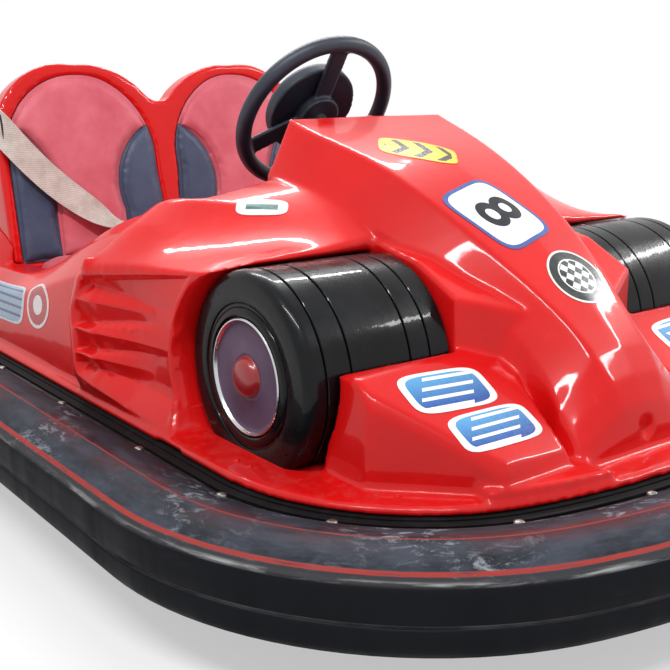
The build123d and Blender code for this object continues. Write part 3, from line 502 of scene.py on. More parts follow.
# the side stays black, with grit in the groove and a few scuffs
groove = add_node(tree, "Math", {0: height, 1: 0.1125}, operation="SUBTRACT")
groove = add_node(tree, "Math", {0: groove}, operation="ABSOLUTE")
groove = add_node(tree, "MapRange", {0: groove, 1: 0.0025, 2: 0.0015})
groove_dust = add_node(tree, "MapRange", {0: mottle, 3: 0.35, 4: 0.9})
groove = add_node(tree, "Math", {0: groove, 1: groove_dust}, operation="MULTIPLY")
scuff = add_node(tree, "Mapping", {0: place, "Scale": (9, 9, 60)})
scuff = add_node(tree, "TexNoise", {"Vector": scuff, "Scale": 1, "Detail": 7, "Roughness": 0.7})
scuff = add_node(tree, "MapRange", {0: scuff, 1: 0.6, 2: 0.75, 3: 0, 4: 0.35})
side = add_node(tree, "Mix", {0: scuff, 6: colour("15161A"), 7: colour("34343A")})
side = add_node(tree, "Mix", {0: groove, 6: side, 7: colour("807F84")})
skin = add_node(tree, "Mix", {0: top, 6: side, 7: dust})
rough = add_node(tree, "MapRange", {0: mottle, 3: 0.48, 4: 0.72})
grain = add_node(tree, "TexNoise", {"Vector": place, "Scale": 260, "Detail": 4})
grain = add_node(tree, "Bump", {"Height": grain, "Strength": 0.25, "Distance": 0.0006})
feed(shader, {"Base Color": skin, "Roughness": rough, "Normal": grain})
bumper.data.materials.append(rubber)
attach(bumper, "chassis")
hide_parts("bumper")


# Moulded tyres: hollow black mouldings let into the body, turned here as one profile about the
# axle's line, with tread grooves and a bead round the disc, and cut flat where they meet the deck.
def turned(name, profile, axis_y, axis_z, steps=96):
    """Turns a profile of (radius, x) points in mm about a line along X."""
    bpy.ops.object.select_all(action="DESELECT")
    bpy.ops.mesh.primitive_plane_add(size=0.1)
    piece = new_mesh_piece(name)
    bpy.ops.object.mode_set(mode="EDIT")
    shape = bmesh.from_edit_mesh(piece.data)
    bmesh.ops.delete(shape, geom=list(shape.verts), context="VERTS")
    row = [shape.verts.new((x / 1000, axis_y, axis_z + radius / 1000)) for radius, x in profile]
    for one, two in zip(row, row[1:]):
        shape.edges.new((one, two))
    bmesh.update_edit_mesh(piece.data)
    bpy.ops.mesh.select_all(action="SELECT")
    bpy.ops.mesh.spin(steps=steps, angle=2 * pi, center=(0, axis_y, axis_z), axis=(1, 0, 0))
    bpy.ops.mesh.select_all(action="SELECT")
    bpy.ops.mesh.remove_doubles(threshold=0.00002)
    bpy.ops.mesh.normals_make_consistent(inside=False)
    bpy.ops.object.mode_set(mode="OBJECT")
    return piece


def mirrored(piece, name):
    """Copies a piece to the car's other side."""
    twin = piece.copy()
    twin.data = piece.data.copy()
    twin.name = twin.data.name = name
    bpy.context.collection.objects.link(twin)
    twin.data.transform(Matrix.Scale(-1, 4, (1, 0, 0)))
    twin.data.flip_normals()
    return twin


deck_top = 0.174
tyre_y, tyre_z, tyre_radius = -0.506, 0.275, 141
tread = [(0, 184), (60, 184), (tyre_radius - 5, 184), (tyre_radius, 189)]  # radius and x, mm
groove = ((0, -2.4), (-0.8, -1.5), (-3.6, -1), (-3.6, 1), (-0.8, 1.5), (0, 2.4))
for middle in (221, 255, 352, 391):
    tread += [(tyre_radius + deep, middle + off) for deep, off in groove]
tread += [(tyre_radius, 404)]
tread += [(tyre_radius - 14 + 14 * cos(radians(a)), 407 + 14 * sin(radians(a))) for a in range(0, 91, 15)]
tread += [(112, 421.4), (99.5, 421.4), (98.2, 420.8), (97.4, 419), (93.6, 419), (92.8, 420.8), (91.5, 422)]
tread += [(87.5, 423), (83, 423), (80.8, 421.4), (79.8, 418), (79.6, 409.5), (0, 409.5)]

# black gelcoat: deep and glossy, under a thin grey film of dust in patches of 70 mm, and rippled
# by the mould every 25 mm
black_gelcoat, tree, shader = start_finish(
    "black_gelcoat", "0B0C0F", 0.3, IOR=1.5, Coat_Weight=0.22, Coat_Roughness=0.06, Specular_IOR_Level=0.1)
place = add_node(tree, "TexCoord").outputs["Object"]
film = add_node(tree, "TexNoise", {"Vector": place, "Scale": 14, "Detail": 8, "Roughness": 0.7})
film = add_node(tree, "MapRange", {0: film, 1: 0.4, 2: 0.75, 3: 0, 4: 0.5})
film_colour = add_node(tree, "Mix", {0: film, 6: colour("08090B"), 7: colour("181A20")})
dull = add_node(tree, "MapRange", {0: film, 1: 0, 2: 0.5, 3: 0.22, 4: 0.42})
ripple = add_node(tree, "TexNoise", {"Vector": place, "Scale": 38, "Detail": 3})
ripple = add_node(tree, "Bump", {"Height": ripple, "Strength": 0.3, "Distance": 0.0012})
feed(shader, {"Base Color": film_colour, "Roughness": dull, "Normal": ripple, "Coat Normal": ripple})

tyre = turned("moulded_tyre_left", tread, tyre_y, tyre_z)
bpy.ops.object.mode_set(mode="EDIT")
bpy.ops.mesh.select_all(action="SELECT")
bpy.ops.mesh.bisect(plane_co=(0, 0, deck_top - 0.001), plane_no=(0, 0, 1), clear_inner=True, use_fill=True)
bpy.ops.object.mode_set(mode="OBJECT")
shade(tyre, 32)
tyre.data.materials.append(black_gelcoat)
for piece, side in ((tyre, "left"), (mirrored(tyre, "moulded_tyre_right"), "right")):
    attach(piece, "chassis")
    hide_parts(f"mock_tyre_{side}")


# Wheel discs: grey-mauve mouldings with a plated rim and a red domed nub, each one profile turned
# about the axle's line. The nub and the rim take their own finishes.
nub_radius, nub_foot, rim_radius = 0.0285, 0.412, 0.0742
profile = [(0, 430), (8, 429.9), (16, 429), (21.5, 427), (25, 424), (26.8, 420.4), (27.4, 417.6)]
profile += [(28.6, 416.6), (31, 417.2), (33.5, 417.4), (35.5, 416.4), (52, 415.8), (68, 416.2)]
profile += [(72, 417), (74, 418.6), (75, 421.4), (76.2, 422.8), (77.6, 422.8), (78.8, 421.6)]
profile += [(79, 419), (79, 409.8), (0, 409.8)]
disc = turned("wheel_disc_left", profile, tyre_y, tyre_z)
shade(disc, 40)
# pigmented moulding with a satin face: a soft sheen, and a mauve that is cloudy every 45 mm
mauve, tree, shader = start_finish("satin_moulding", "5A4659", 0.38, IOR=1.5, Specular_IOR_Level=0.25)
place = add_node(tree, "TexCoord").outputs["Object"]
cloud = add_node(tree, "TexNoise", {"Vector": place, "Scale": 22, "Detail": 5})
cloud = add_node(tree, "Mix", {0: cloud, 6: colour("4E3B4E"), 7: colour("67506A")})
feed(shader, {"Base Color": cloud})
# bright plating, pitted every 6 mm so that its shine breaks up
plated, tree, shader = start_finish("plated_rim", "C9C9CC", 0.22, Metallic=1.0)
place = add_node(tree, "TexCoord").outputs["Object"]
pits = add_node(tree, "TexNoise", {"Vector": place, "Scale": 160, "Detail": 3})
pits = add_node(tree, "MapRange", {0: pits, 3: 0.14, 4: 0.36})
feed(shader, {"Roughness": pits})
# red gelcoat, darker than the body's and faded in patches of 17 mm
nub_red, tree, shader = start_finish(
    "nub_gelcoat", "A51A1D", 0.3, IOR=1.5, Coat_Weight=0.4, Coat_Roughness=0.06)
place = add_node(tree, "TexCoord").outputs["Object"]
faded = add_node(tree, "TexNoise", {"Vector": place, "Scale": 60, "Detail": 5})
faded = add_node(tree, "Mix", {0: faded, 6: colour("861115"), 7: colour("A01A1D")})
feed(shader, {"Base Color": faded})
for finish in (mauve, plated, nub_red):
    disc.data.materials.append(finish)
for face in disc.data.polygons:
    reach = hypot(face.center.y - tyre_y, face.center.z - tyre_z)
    on_nub = reach < nub_radius and face.center.x > nub_foot
    face.material_index = 2 if on_nub else 1 if reach > rim_radius else 0
for piece, side in ((disc, "left"), (mirrored(disc, "wheel_disc_right"), "right")):
    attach(piece, "chassis")
    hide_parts(f"mock_disc_{side}")


# Steering wheel: one moulding of dark plastic with webs run into its rim, and a round boss on
# the driver's side.
wheel = copy_of_nodes("moulded_steering_wheel", "steering_wheel")
relax(wheel, voxel=0.0024, passes=10)
# moulded plastic: blue-black and half dull, greyed by hands, with a pebble of under 1 mm that is
# drawn at 2 mm so that it shows
wheel_plastic, tree, shader = start_finish("moulded_plastic", "1F232C", 0.45, IOR=1.49)
place = add_node(tree, "TexCoord").outputs["Object"]
grime = add_node(tree, "TexNoise", {"Vector": place, "Scale": 30, "Detail": 6, "Roughness": 0.6})
grime = add_node(tree, "Mix", {0: grime, 6: colour("1A1E29"), 7: colour("323848")})
pebble = add_node(tree, "TexVoronoi", {"Vector": place, "Scale": 480})
pebble = add_node(tree, "Bump", {"Height": pebble, "Strength": 0.25, "Distance": 0.0004})
feed(shader, {"Base Color": grime, "Normal": pebble})
boss = copy_of_nodes("steering_boss", "steering_pad")
relax(boss, voxel=0.003, passes=4)
for piece, node in ((wheel, "steering_wheel"), (boss, "steering_pad")):
    piece.data.materials.clear()
    piece.data.materials.append(wheel_plastic)
    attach(piece, "steering")
    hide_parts(node)


# Seat padding: foam pads under vinyl, crimson in the middle and slate on the side bolsters, each
# sewn as its own panel. Each is a little smaller than its space and is blown up by a cloth step.
puff_frames = 20


def padded_panel(name, node, most, voxel):
    """Copies a pad's solid, shrinks it a little and lets air pressure round it, no more than most."""
    piece = copy_of_nodes(name, node)
    apply_modifier(piece, "REMESH", mode="VOXEL", voxel_size=voxel, adaptivity=0)
    apply_modifier(piece, "DISPLACE", strength=-0.0022, mid_level=0)
    apply_modifier(piece, "SMOOTH", factor=0.5, iterations=4)
    before = [vertex.co.copy() for vertex in piece.data.vertices]
    cloth = piece.modifiers.new("cloth", "CLOTH")
    cloth.settings.use_pressure = True
    cloth.settings.uniform_pressure_force = 4
    cloth.settings.effector_weights.gravity = 0
    cloth.settings.quality = 5
    for step in range(1, puff_frames + 1):
        scene.frame_set(step)
    select_only(piece)
    bpy.ops.object.modifier_apply(modifier="cloth")
    scene.frame_set(1)
    for vertex, start in zip(piece.data.vertices, before):
        moved = vertex.co - start
        if moved.length > most:
            vertex.co = start + moved.normalized() * most
    apply_modifier(piece, "SMOOTH", factor=0.5, iterations=6)
    apply_modifier(piece, "SUBSURF", levels=1, render_levels=1)
    select_only(piece)
    bpy.ops.object.shade_smooth()
    piece.data.materials.clear()
    return piece


def leather_cloth(name, dark, light, rough):
    """Starts a coated-fabric finish: soft clouds of wear, grain of 1.5 mm and small creases."""
    material, tree, shader = start_finish(
        name, dark, rough, IOR=1.5, Specular_IOR_Level=0.3, Sheen_Weight=0.15)
    place = add_node(tree, "TexCoord").outputs["Object"]
    wear = add_node(tree, "TexNoise", {"Vector": place, "Scale": 9, "Detail": 5, "Roughness": 0.6})
    wear = add_node(tree, "MapRange", {0: wear, 1: 0.35, 2: 0.68})
    base = add_node(tree, "Mix", {0: wear, 6: colour(dark), 7: colour(light)})
    grain = add_node(tree, "TexVoronoi", {"Vector": place, "Scale": 650}, feature="DISTANCE_TO_EDGE")
    grain = add_node(tree, "Bump", {"Height": grain, "Strength": 0.35, "Distance": 0.0004})
    crease = add_node(tree, "TexNoise", {"Vector": place, "Scale": 55, "Detail": 4, "Distortion": 1.2})
    crease = add_node(
        tree, "Bump", {"Height": crease, "Strength": 0.22, "Distance": 0.0012, "Normal": grain})
    feed(shader, {"Base Color": base, "Normal": crease})
    return material


# crimson and slate vinyl: a low soft sheen, paler where riders rub it
crimson_vinyl = leather_cloth("crimson_vinyl", "CC5463", "DF7380", 0.46)
slate_vinyl = leather_cloth("slate_vinyl", "38415A", "4C566F", 0.42)

# under each back panel lies a stiffener in the same vinyl, and a black board behind them all, so
# that the seams between the panels show as thin dark lines; the board is painted shade in the seams
painted_shade_finish = leather_cloth("painted_shade_board", "14151C", "20222B", 0.6)
seat_lean, seat_foot = radians(10), Vector((0, 0.44, 0.33))
back_normal = Vector((0, -cos(seat_lean), sin(seat_lean)))
back_layers = (  # name, pads it lies under, finish, slot, depth under their face, drawn in at the seam
    ("stiffened_back", ("back_pad",), crimson_vinyl, "seat_vinyl_red", 0.003, 0.001),
    ("stiffened_inner", ("inner_bolster",), slate_vinyl, "seat_vinyl_grey", 0.003, 0.001),
    ("stiffened_outer", ("outer_bolster",), slate_vinyl, "seat_vinyl_grey", 0.003, 0.001),
    ("painted_shade_board", ("back_pad", "inner_bolster", "outer_bolster"), painted_shade_finish, "seat_vinyl_grey",
     0.006, 0),
)
for name, covers, finish, slot, depth, seam in back_layers:
    for side in ("left", "right"):
        layer = copy_of_nodes(f"{name}_{side}", *[f"{cover}_{side}" for cover in covers])
        if seam:
            apply_modifier(layer, "DISPLACE", strength=-seam, mid_level=0)
        bpy.ops.object.mode_set(mode="EDIT")
        bpy.ops.mesh.select_all(action="SELECT")
        bpy.ops.mesh.bisect(
            plane_co=seat_foot - back_normal * depth, plane_no=back_normal, use_fill=True, clear_outer=True)
        bpy.ops.object.mode_set(mode="OBJECT")
        layer.data.materials.clear()
        layer.data.materials.append(finish)
        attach(layer, "chassis")

panels = (  # part, finish, slot, how far the air may push it, voxel
    ("back_pad", crimson_vinyl, "seat_vinyl_red", 0.006, 0.0045),
    ("inner_bolster", slate_vinyl, "seat_vinyl_grey", 0.005, 0.004),
    ("outer_bolster", slate_vinyl, "seat_vinyl_grey", 0.005, 0.004),
    ("seat_cushion", crimson_vinyl, "seat_vinyl_red", 0.012, 0.006),
)
for part, finish, slot, most, voxel in panels:
    for side in ("left", "right"):
        panel = padded_panel(f"padded_{part}_{side}", f"{part}_{side}", most, voxel)
        panel.data.materials.append(finish)
        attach(panel, "chassis")
        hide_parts(f"{part}_{side}")


# Belts: two-inch beige polyester webbing, slack over the passenger's pad and tucked behind the
# driver's, each on a bolted plate on the hood's edge. A belt is one woven band laid along rows.
def webbing(name, rows, half_width=0.0285, thickness=0.0022):
    """Lays a band along rows of a middle, in mm, and the way that its face looks."""
    bpy.ops.object.select_all(action="DESELECT")
    bpy.ops.mesh.primitive_grid_add(x_subdivisions=4, y_subdivisions=len(rows) - 1, size=1)
    band = new_mesh_piece(name)
    middles = [Vector(row[:3]) / 1000 for row in rows]
    reach = [0.0]
    for one, two in zip(middles, middles[1:]):
        reach.append(reach[-1] + (two - one).length)
    for layer_loop, loop in zip(band.data.uv_layers[0].data, band.data.loops):
        place = band.data.vertices[loop.vertex_index].co
        layer_loop.uv = (place.x * 2 * half_width, reach[round((place.y + 0.5) * (len(rows) - 1))])
    for vertex in band.data.vertices:
        step = round((vertex.co.y + 0.5) * (len(rows) - 1))
        run = middles[min(step + 1, len(rows) - 1)] - middles[max(step - 1, 0)]
        width = run.cross(Vector(rows[step][3:])).normalized()
        vertex.co = middles[step] + width * vertex.co.x * 2 * half_width
    apply_modifier(band, "SUBSURF", levels=3, render_levels=3)
    apply_modifier(band, "SOLIDIFY", thickness=thickness, offset=0)
    shade(band, 50)
    return band


# woven polyester: dull, with a fuzz that catches light along the edges, and soiled in patches
woven, tree, shader = start_finish(
    "woven_polyester", "D8CDC4", 0.7, IOR=1.5, Specular_IOR_Level=0.2, Sheen_Weight=0.2)
place = add_node(tree, "TexCoord").outputs["UV"]
# a twill of 2 mm yarns, drawn at 4 mm so that it shows, and ribs of 4 mm along the belt
yarn = add_node(
    tree, "TexWave", {"Vector": place, "Scale": 105, "Distortion": 0.4}, bands_direction="DIAGONAL")
rib = add_node(tree, "TexWave", {"Vector": place, "Scale": 75}, bands_direction="X")
yarn, rib = yarn.outputs["Fac"], rib.outputs["Fac"]
soil = add_node(tree, "TexNoise", {"Vector": place, "Scale": 22, "Detail": 5, "Roughness": 0.65})
soil = add_node(tree, "MapRange", {0: soil, 1: 0.35, 2: 0.7})
woven_colour = add_node(tree, "Mix", {0: soil, 6: colour("DDD3CB"), 7: colour("B9AAA0")})
# the gaps between the yarns are painted darker: painted shade in the weave
shaded_yarn_gaps = add_node(tree, "MapRange", {0: yarn, 1: 0, 2: 0.5, 3: 0.35, 4: 0})
woven_colour = add_node(tree, "Mix", {0: shaded_yarn_gaps, 6: woven_colour, 7: colour("8F8279")})
weave = add_node(tree, "Math", {0: yarn, 1: rib}, operation="ADD")
weave = add_node(tree, "Bump", {"Height": weave, "Strength": 0.5, "Distance": 0.0006})
feed(shader, {"Base Color": woven_colour, "Normal": weave})

facing_out, facing_rider = (-1, 0, 0), (0, -0.98, 0.17)
worn_belt = webbing("belt_webbing_right", (
    (-371, 514, 586, *facing_out), (-375, 488, 579, -1, -0.15, 0), (-372, 467, 563, -0.5, -0.85, 0.1),
    (-347, 452, 526, *facing_rider), (-312, 446, 485, *facing_rider), (-275, 440, 447, *facing_rider),
    (-236, 434, 414, 0.05, -0.98, 0.2), (-196, 428, 384, 0.15, -0.9, 0.4), (-166, 422, 365, 0.3, -0.6, 0.7),
    (-138, 415, 351, 0.4, -0.25, 0.9), (-103, 407, 334, 0.35, -0.45, 0.8), (-66, 401, 317, 0.2, -0.8, 0.5),
    (-28, 399, 303, 0.1, -0.98, 0.2),
))
loose_belt = webbing("belt_webbing_left", (
    (371, 514, 586, 1, 0, 0), (375, 488, 579, 1, -0.15, 0), (370, 467, 560, 0.5, -0.85, 0.1),
    (344, 455, 522, *facing_rider), (328, 447, 472, 0.05, -0.98, 0.17), (322, 440, 420, *facing_rider),
    (320, 433, 370, -0.05, -0.98, 0.17), (321, 427, 330, *facing_rider), (323, 431, 298, *facing_rider),
), half_width=0.0245)
for belt, node in ((worn_belt, "belt_right"), (loose_belt, "belt_left")):
    belt.data.materials.append(woven)
    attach(belt, "chassis")
    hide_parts(node)


# Buckle and anchor plates: black moulded covers over steel, each plate bolted through to the hood
# and the buckle held on its belt. They are the solids with their edges rounded.
def rounded_copy(name, node, width):
    """Copies a solid and rounds its edges."""
    piece = copy_of_nodes(name, node)
    apply_modifier(piece, "BEVEL", width=width, segments=3, limit_method="ANGLE", angle_limit=radians(35))
    shade(piece, 35)
    piece.data.materials.clear()
    return piece


# moulded plastic with a sparked mould's grain, drawn at 1.5 mm so that it shows: black, half dull
# and greyed by dust
black_cover, tree, shader = start_finish("moulded_cover", "17181B", 0.5, IOR=1.49, Specular_IOR_Level=0.3)
place = add_node(tree, "TexCoord").outputs["Object"]
spark = add_node(tree, "TexVoronoi", {"Vector": place, "Scale": 700})
spark = add_node(tree, "Bump", {"Height": spark, "Strength": 0.3, "Distance": 0.0003})
grey = add_node(tree, "TexNoise", {"Vector": place, "Scale": 40, "Detail": 5})
grey = add_node(tree, "Mix", {0: grey, 6: colour("131417"), 7: colour("26282D")})
feed(shader, {"Base Color": grey, "Normal": spark})
for name, node in (
    ("anchor_cover_left", "belt_anchor_left"), ("anchor_cover_right", "belt_anchor_right"),
    ("buckle_cover", "belt_buckle"),
):
    cover = rounded_copy(name, node, width=0.0025)
    cover.data.materials.append(black_cover)
    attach(cover, "chassis")
    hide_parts(node)


# Finishes of the solids that stay: each gets the look of its real material, with wear and dust.
def worn_finish(name, base, worn, rough, metallic=0.0, patch=14, specular=0.4):
    """Starts a finish whose colour wears from base to worn in patches, with a fine grit."""
    material, tree, shader = start_finish(name, base, rough, Metallic=metallic, Specular_IOR_Level=specular)
    place = add_node(tree, "TexCoord").outputs["Object"]
    wear = add_node(tree, "TexNoise", {"Vector": place, "Scale": patch, "Detail": 8, "Roughness": 0.68})
    wear = add_node(tree, "MapRange", {0: wear, 1: 0.48, 2: 0.7})
    base_colour = add_node(tree, "Mix", {0: wear, 6: colour(base), 7: colour(worn)})
    dull = add_node(tree, "MapRange", {0: wear, 3: rough, 4: min(rough + 0.2, 0.95)})
    grit = add_node(tree, "TexNoise", {"Vector": place, "Scale": 420, "Detail": 3})
    grit = add_node(tree, "Bump", {"Height": grit, "Strength": 0.2, "Distance": 0.0004})
    feed(shader, {"Base Color": base_colour, "Roughness": dull, "Normal": grit})
    return material, tree, shader


# chassis enamel: half-gloss black, chipped to brown
black_enamel = worn_finish("black_enamel", "121316", "3A3530", 0.4)[0]
# extruded rubber strip: dull and black
skirt_rubber = worn_finish("skirt_rubber", "08080A", "1C1B1C", 0.7, patch=22, specular=0.15)[0]
# moulded polypropylene: dark and waxy
battery_case = worn_finish("polypropylene_case", "1B1C20", "3B3C42", 0.5)[0]
# machine paint over cast iron: grey and half dull
cast_paint = worn_finish("painted_casting", "33363C", "55565A", 0.5, patch=30)[0]
# steel turned in a lathe: bright, with a brown film in patches
turned_steel = worn_finish("turned_steel", "9A9B9E", "6D665F", 0.28, metallic=1.0, patch=40)[0]
# die-cast aluminium: silvery and matt
cast_aluminium = worn_finish("cast_aluminium", "A8AAAD", "7D7C7B", 0.42, metallic=1.0, patch=35)[0]
# rubber mat: black, dull and trodden grey
floor_mat, tree, shader = worn_finish("ribbed_floor_mat", "15161A", "37353A", 0.62, patch=18, specular=0.2)
place = add_node(tree, "TexCoord").outputs["Object"]
# ribs 10 mm apart run across the car
ribs = add_node(tree, "TexWave", {"Vector": place, "Scale": 31.4}, bands_direction="Y")
ribs = add_node(tree, "Bump", {"Height": ribs.outputs["Fac"], "Strength": 0.6, "Distance": 0.0015})
feed(shader, {"Normal": ribs})
for finish, nodes in (
    (black_enamel, ("bumper_carrier", "chassis_frame", "drive_bridge", "column_bracket", "drive_fork",
                    "rear_bracket_left", "rear_bracket_right", "accelerator")),
    (skirt_rubber, ("skirt_band",)),
    (battery_case, ("battery_pack",)),
    (cast_paint, ("steering_gearbox", "drive_motor")),
    (turned_steel, ("steering_column",)),
    (cast_aluminium, ("drive_hub", "rear_hub_left", "rear_hub_right")),
    (floor_mat, ("floor_pan",)),
):
    for node in nodes:
        record_nodes[node].data.materials.clear()
        record_nodes[node].data.materials.append(finish)


# Road wheels' tyres: solid black rubber pressed on the hubs, with three grooves round the tread
# and a row of notches along each shoulder.
# pressed solid rubber: near black, browned where it rolls
solid_rubber = worn_finish("solid_rubber", "0E0E10", "3B3833", 0.65, patch=26, specular=0.2)[0]


def road_tyre(name, x, y, radius, width, bore):
    """Turns a tyre's profile about its axle and presses notches into its shoulders. Sizes in mm."""
    half, band, shoulder, groove, steps = width / 2, width / 9, 6, 3.5, 90
    profile = [(bore, x - half), (radius - shoulder, x - half), (radius, x - half + shoulder)]
    for middle in (x - 2 * band, x, x + 2 * band):
        profile += [(radius, middle - 2), (radius - groove, middle - 1.5)]
        profile += [(radius - groove, middle + 1.5), (radius, middle + 2)]
    profile += [(radius, x + half - shoulder), (radius - shoulder, x + half)]
    profile += [(bore, x + half), (bore, x - half)]
    piece = turned(name, profile, y / 1000, radius / 1000, steps)
    bpy.ops.object.mode_set(mode="EDIT")
    shape = bmesh.from_edit_mesh(piece.data)
    for face in shape.faces:
        at = face.calc_center_median()
        turn = round((atan2(at.z - radius / 1000, at.y - y / 1000) + pi) / (2 * pi) * steps - 0.5)
        reach = hypot(at.y - y / 1000, at.z - radius / 1000) * 1000
        face.select = turn % 3 == 0 and radius - 5 < reach < radius - 1 and abs(face.normal.x) > 0.3
    bmesh.update_edit_mesh(piece.data)
    bpy.ops.mesh.extrude_region_shrink_fatten(TRANSFORM_OT_shrink_fatten={"value": -0.0025})
    bpy.ops.object.mode_set(mode="OBJECT")
    shade(piece, 30)
    piece.data.materials.append(solid_rubber)
    return piece


front_tyre = road_tyre("treaded_drive_tyre", x=0, y=-560, radius=110, width=60, bore=62.2)
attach(front_tyre, "drive_wheel")
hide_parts("drive_tyre")
for side, x in (("left", 290), ("right", -290)):
    rear_tyre = road_tyre(f"treaded_rear_tyre_{side}", x, y=560, radius=78, width=45, bore=42.2)
    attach(rear_tyre, f"rear_wheel_{side}")
    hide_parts(f"rear_tyre_{side}")


# Screws and rivets: domed plated screws hold the bumper to its carrier, and small red-painted
# rivets hold the deck's edge down. One of each is modelled and copied round the car.
def on_plan(run, inset):
    """The point that lies so far round from the car's left side, and so far in from its edge."""
    if run <= corner_y:
        return Vector((plan_half_width - inset, run, 0))
    turn = (run - corner_y) / corner_radius
    if turn <= corner_sweep:
        reach = corner_radius - inset
        return Vector((corner_x + reach * cos(turn), corner_y + reach * sin(turn), 0))
    turn = corner_sweep + (run - corner_y - corner_radius * corner_sweep) / end_radius
    reach = end_radius - inset
    return Vector((reach * cos(turn), reach * sin(turn) - end_centre_y, 0))


def domed_heads(name, runs, inset, height, radius, rise, finish):
    """Models one domed head and copies it to each place in the four quarters of the plan."""
    bpy.ops.object.select_all(action="DESELECT")
    bpy.ops.mesh.primitive_cylinder_add(vertices=16, radius=radius, depth=rise)
    head = new_mesh_piece(name)
    bpy.ops.object.mode_set(mode="EDIT")
    shape = bmesh.from_edit_mesh(head.data)
    for face in shape.faces:
        face.select = face.normal.z > 0.9
    bmesh.update_edit_mesh(head.data)
    bpy.ops.mesh.inset(thickness=radius * 0.3)
    bpy.ops.transform.translate(value=(0, 0, rise * 0.45))
    bpy.ops.mesh.inset(thickness=radius * 0.35)
    bpy.ops.transform.translate(value=(0, 0, rise * 0.2))
    bpy.ops.object.mode_set(mode="OBJECT")
    copies = []
    for run in runs:
        for way_x in (1, -1):
            for way_y in (1, -1):
                place = on_plan(run, inset)
                twin = head.copy()
                twin.data = head.data.copy()
                bpy.context.collection.objects.link(twin)
                twin.data.transform(Matrix.Translation((place.x * way_x, place.y * way_y, height)))
                copies.append(twin)
    bpy.data.objects.remove(head)
    select_only(*copies)
    bpy.ops.object.join()
    heads = bpy.context.view_layer.objects.active
    heads.name = heads.data.name = name
    shade(heads, 60)
    heads.data.materials.append(finish)
    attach(heads, "chassis")


# zinc-plated steel: pale grey, darker in patches
zinc = worn_finish("zinc_plate", "8D8B88", "5B5550", 0.38, metallic=1.0, patch=60)[0]
domed_heads("bumper_screws", (0.13, 0.391, 0.62, 0.835, 1.128, 1.354), inset=0.1275, height=0.1655,
            radius=0.007, rise=0.003, finish=zinc)
domed_heads("deck_rivets", (0.16, 0.2, 0.53, 0.57, 0.888, 0.931, 1.23, 1.27), inset=0.198, height=0.1745,
            radius=0.0042, rise=0.002, finish=gelcoat)


# Stickers: printed vinyl film, half a millimetre thick with its glue, pressed on the gelcoat. They
# carry plain racing marks: chevrons, a number, a chequered disc and stripes.
on_body = BVHTree.FromObject(body, bpy.context.evaluated_depsgraph_get())
half_view, picture_middle = sensor / 2 / lens, 335


def seen_at(x, y):
    """The body's point and normal that the camera sees at a point of the 670-pixel picture."""
    sideways, down = [(at - picture_middle) / picture_middle * half_view for at in (x, y)]
    ray = (ahead + across * sideways - upward * down).normalized()
    return on_body.ray_cast(camera_place, ray)[:2]


film_thickness = 0.0005


def lay_on_body(piece, middle, half, up, lift):
    """Wraps a flat piece, drawn between -1 and 1, on the body, and gives the film its thickness."""
    for vertex in piece.data.vertices:
        place, normal = on_body.find_nearest(middle + half * vertex.co.x + up * vertex.co.y)[:2]
        vertex.co = place + normal * lift
    apply_modifier(piece, "SOLIDIFY", thickness=film_thickness, offset=-1)
    shade(piece, 40)
    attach(piece, "chassis")


def sticker(name, at, right_end, tall, squareness, finish):
    """Cuts a film with rounded corners and lays it at a point of the picture, tall metres high."""
    middle, normal = seen_at(*at)
    half = seen_at(*right_end)[0] - middle
    half -= normal * half.dot(normal)
    up = normal.cross(half).normalized() * tall / 2
    bpy.ops.object.select_all(action="DESELECT")
    bpy.ops.mesh.primitive_grid_add(x_subdivisions=28, y_subdivisions=20, size=2)
    film = new_mesh_piece(name)
    edge = film.data.uv_layers.new(name="edge")
    flat = film.data.uv_layers[0]
    for vertex in film.data.vertices:
        vertex.co.z = max(abs(vertex.co.x), abs(vertex.co.y))
        if vertex.co.z > 0:
            turn = atan2(vertex.co.y, vertex.co.x)
            out = (abs(cos(turn)) ** squareness + abs(sin(turn)) ** squareness) ** (-1 / squareness)
            vertex.co.x, vertex.co.y = vertex.co.z * out * cos(turn), vertex.co.z * out * sin(turn)
    for loop in film.data.loops:
        drawn = film.data.vertices[loop.vertex_index].co
        edge.data[loop.index].uv = (drawn.z, 0)
        flat.data[loop.index].uv = (drawn.x, drawn.y)
    lay_on_body(film, middle, half, up, lift=0.0008)
    film.data.materials.append(finish)
    return film, middle, half, up


def start_film(name, base):
    """Starts a glossy printed film, and returns what its ink is drawn with."""
    material, tree, shader = start_finish(
        name, base, 0.28, IOR=1.5, Specular_IOR_Level=0.3, Coat_Weight=0.25, Coat_Roughness=0.08)
    place = add_node(tree, "TexCoord")
    place, drawn = place.outputs["Object"], place.outputs["UV"]
    grime = add_node(tree, "TexNoise", {"Vector": place, "Scale": 60, "Detail": 6, "Roughness": 0.7})
    grime = add_node(tree, "MapRange", {0: grime, 1: 0.45, 2: 0.8, 3: 0.24, 4: 0.5})
    feed(shader, {"Roughness": grime})
    drawn = add_node(tree, "SeparateXYZ", {0: drawn}).outputs
    rim = add_node(tree, "UVMap", uv_map="edge")
    rim = add_node(tree, "SeparateXYZ", {0: rim}).outputs
    ground = add_node(tree, "RGB")
    ground.outputs[0].default_value = colour(base)
    return material, tree, shader, drawn["X"], drawn["Y"], rim["X"], ground


def print_rings(tree, shader, ink, rim, *rings):
    """Prints rings, each from so far out to the film's edge, and gives the ink to the shader."""
    for reach, code in rings:
        outside = add_node(tree, "Math", {0: rim, 1: reach}, operation="GREATER_THAN")
        ink = add_node(tree, "Mix", {0: outside, 6: ink, 7: colour(code)})
    feed(shader, {"Base Color": ink})


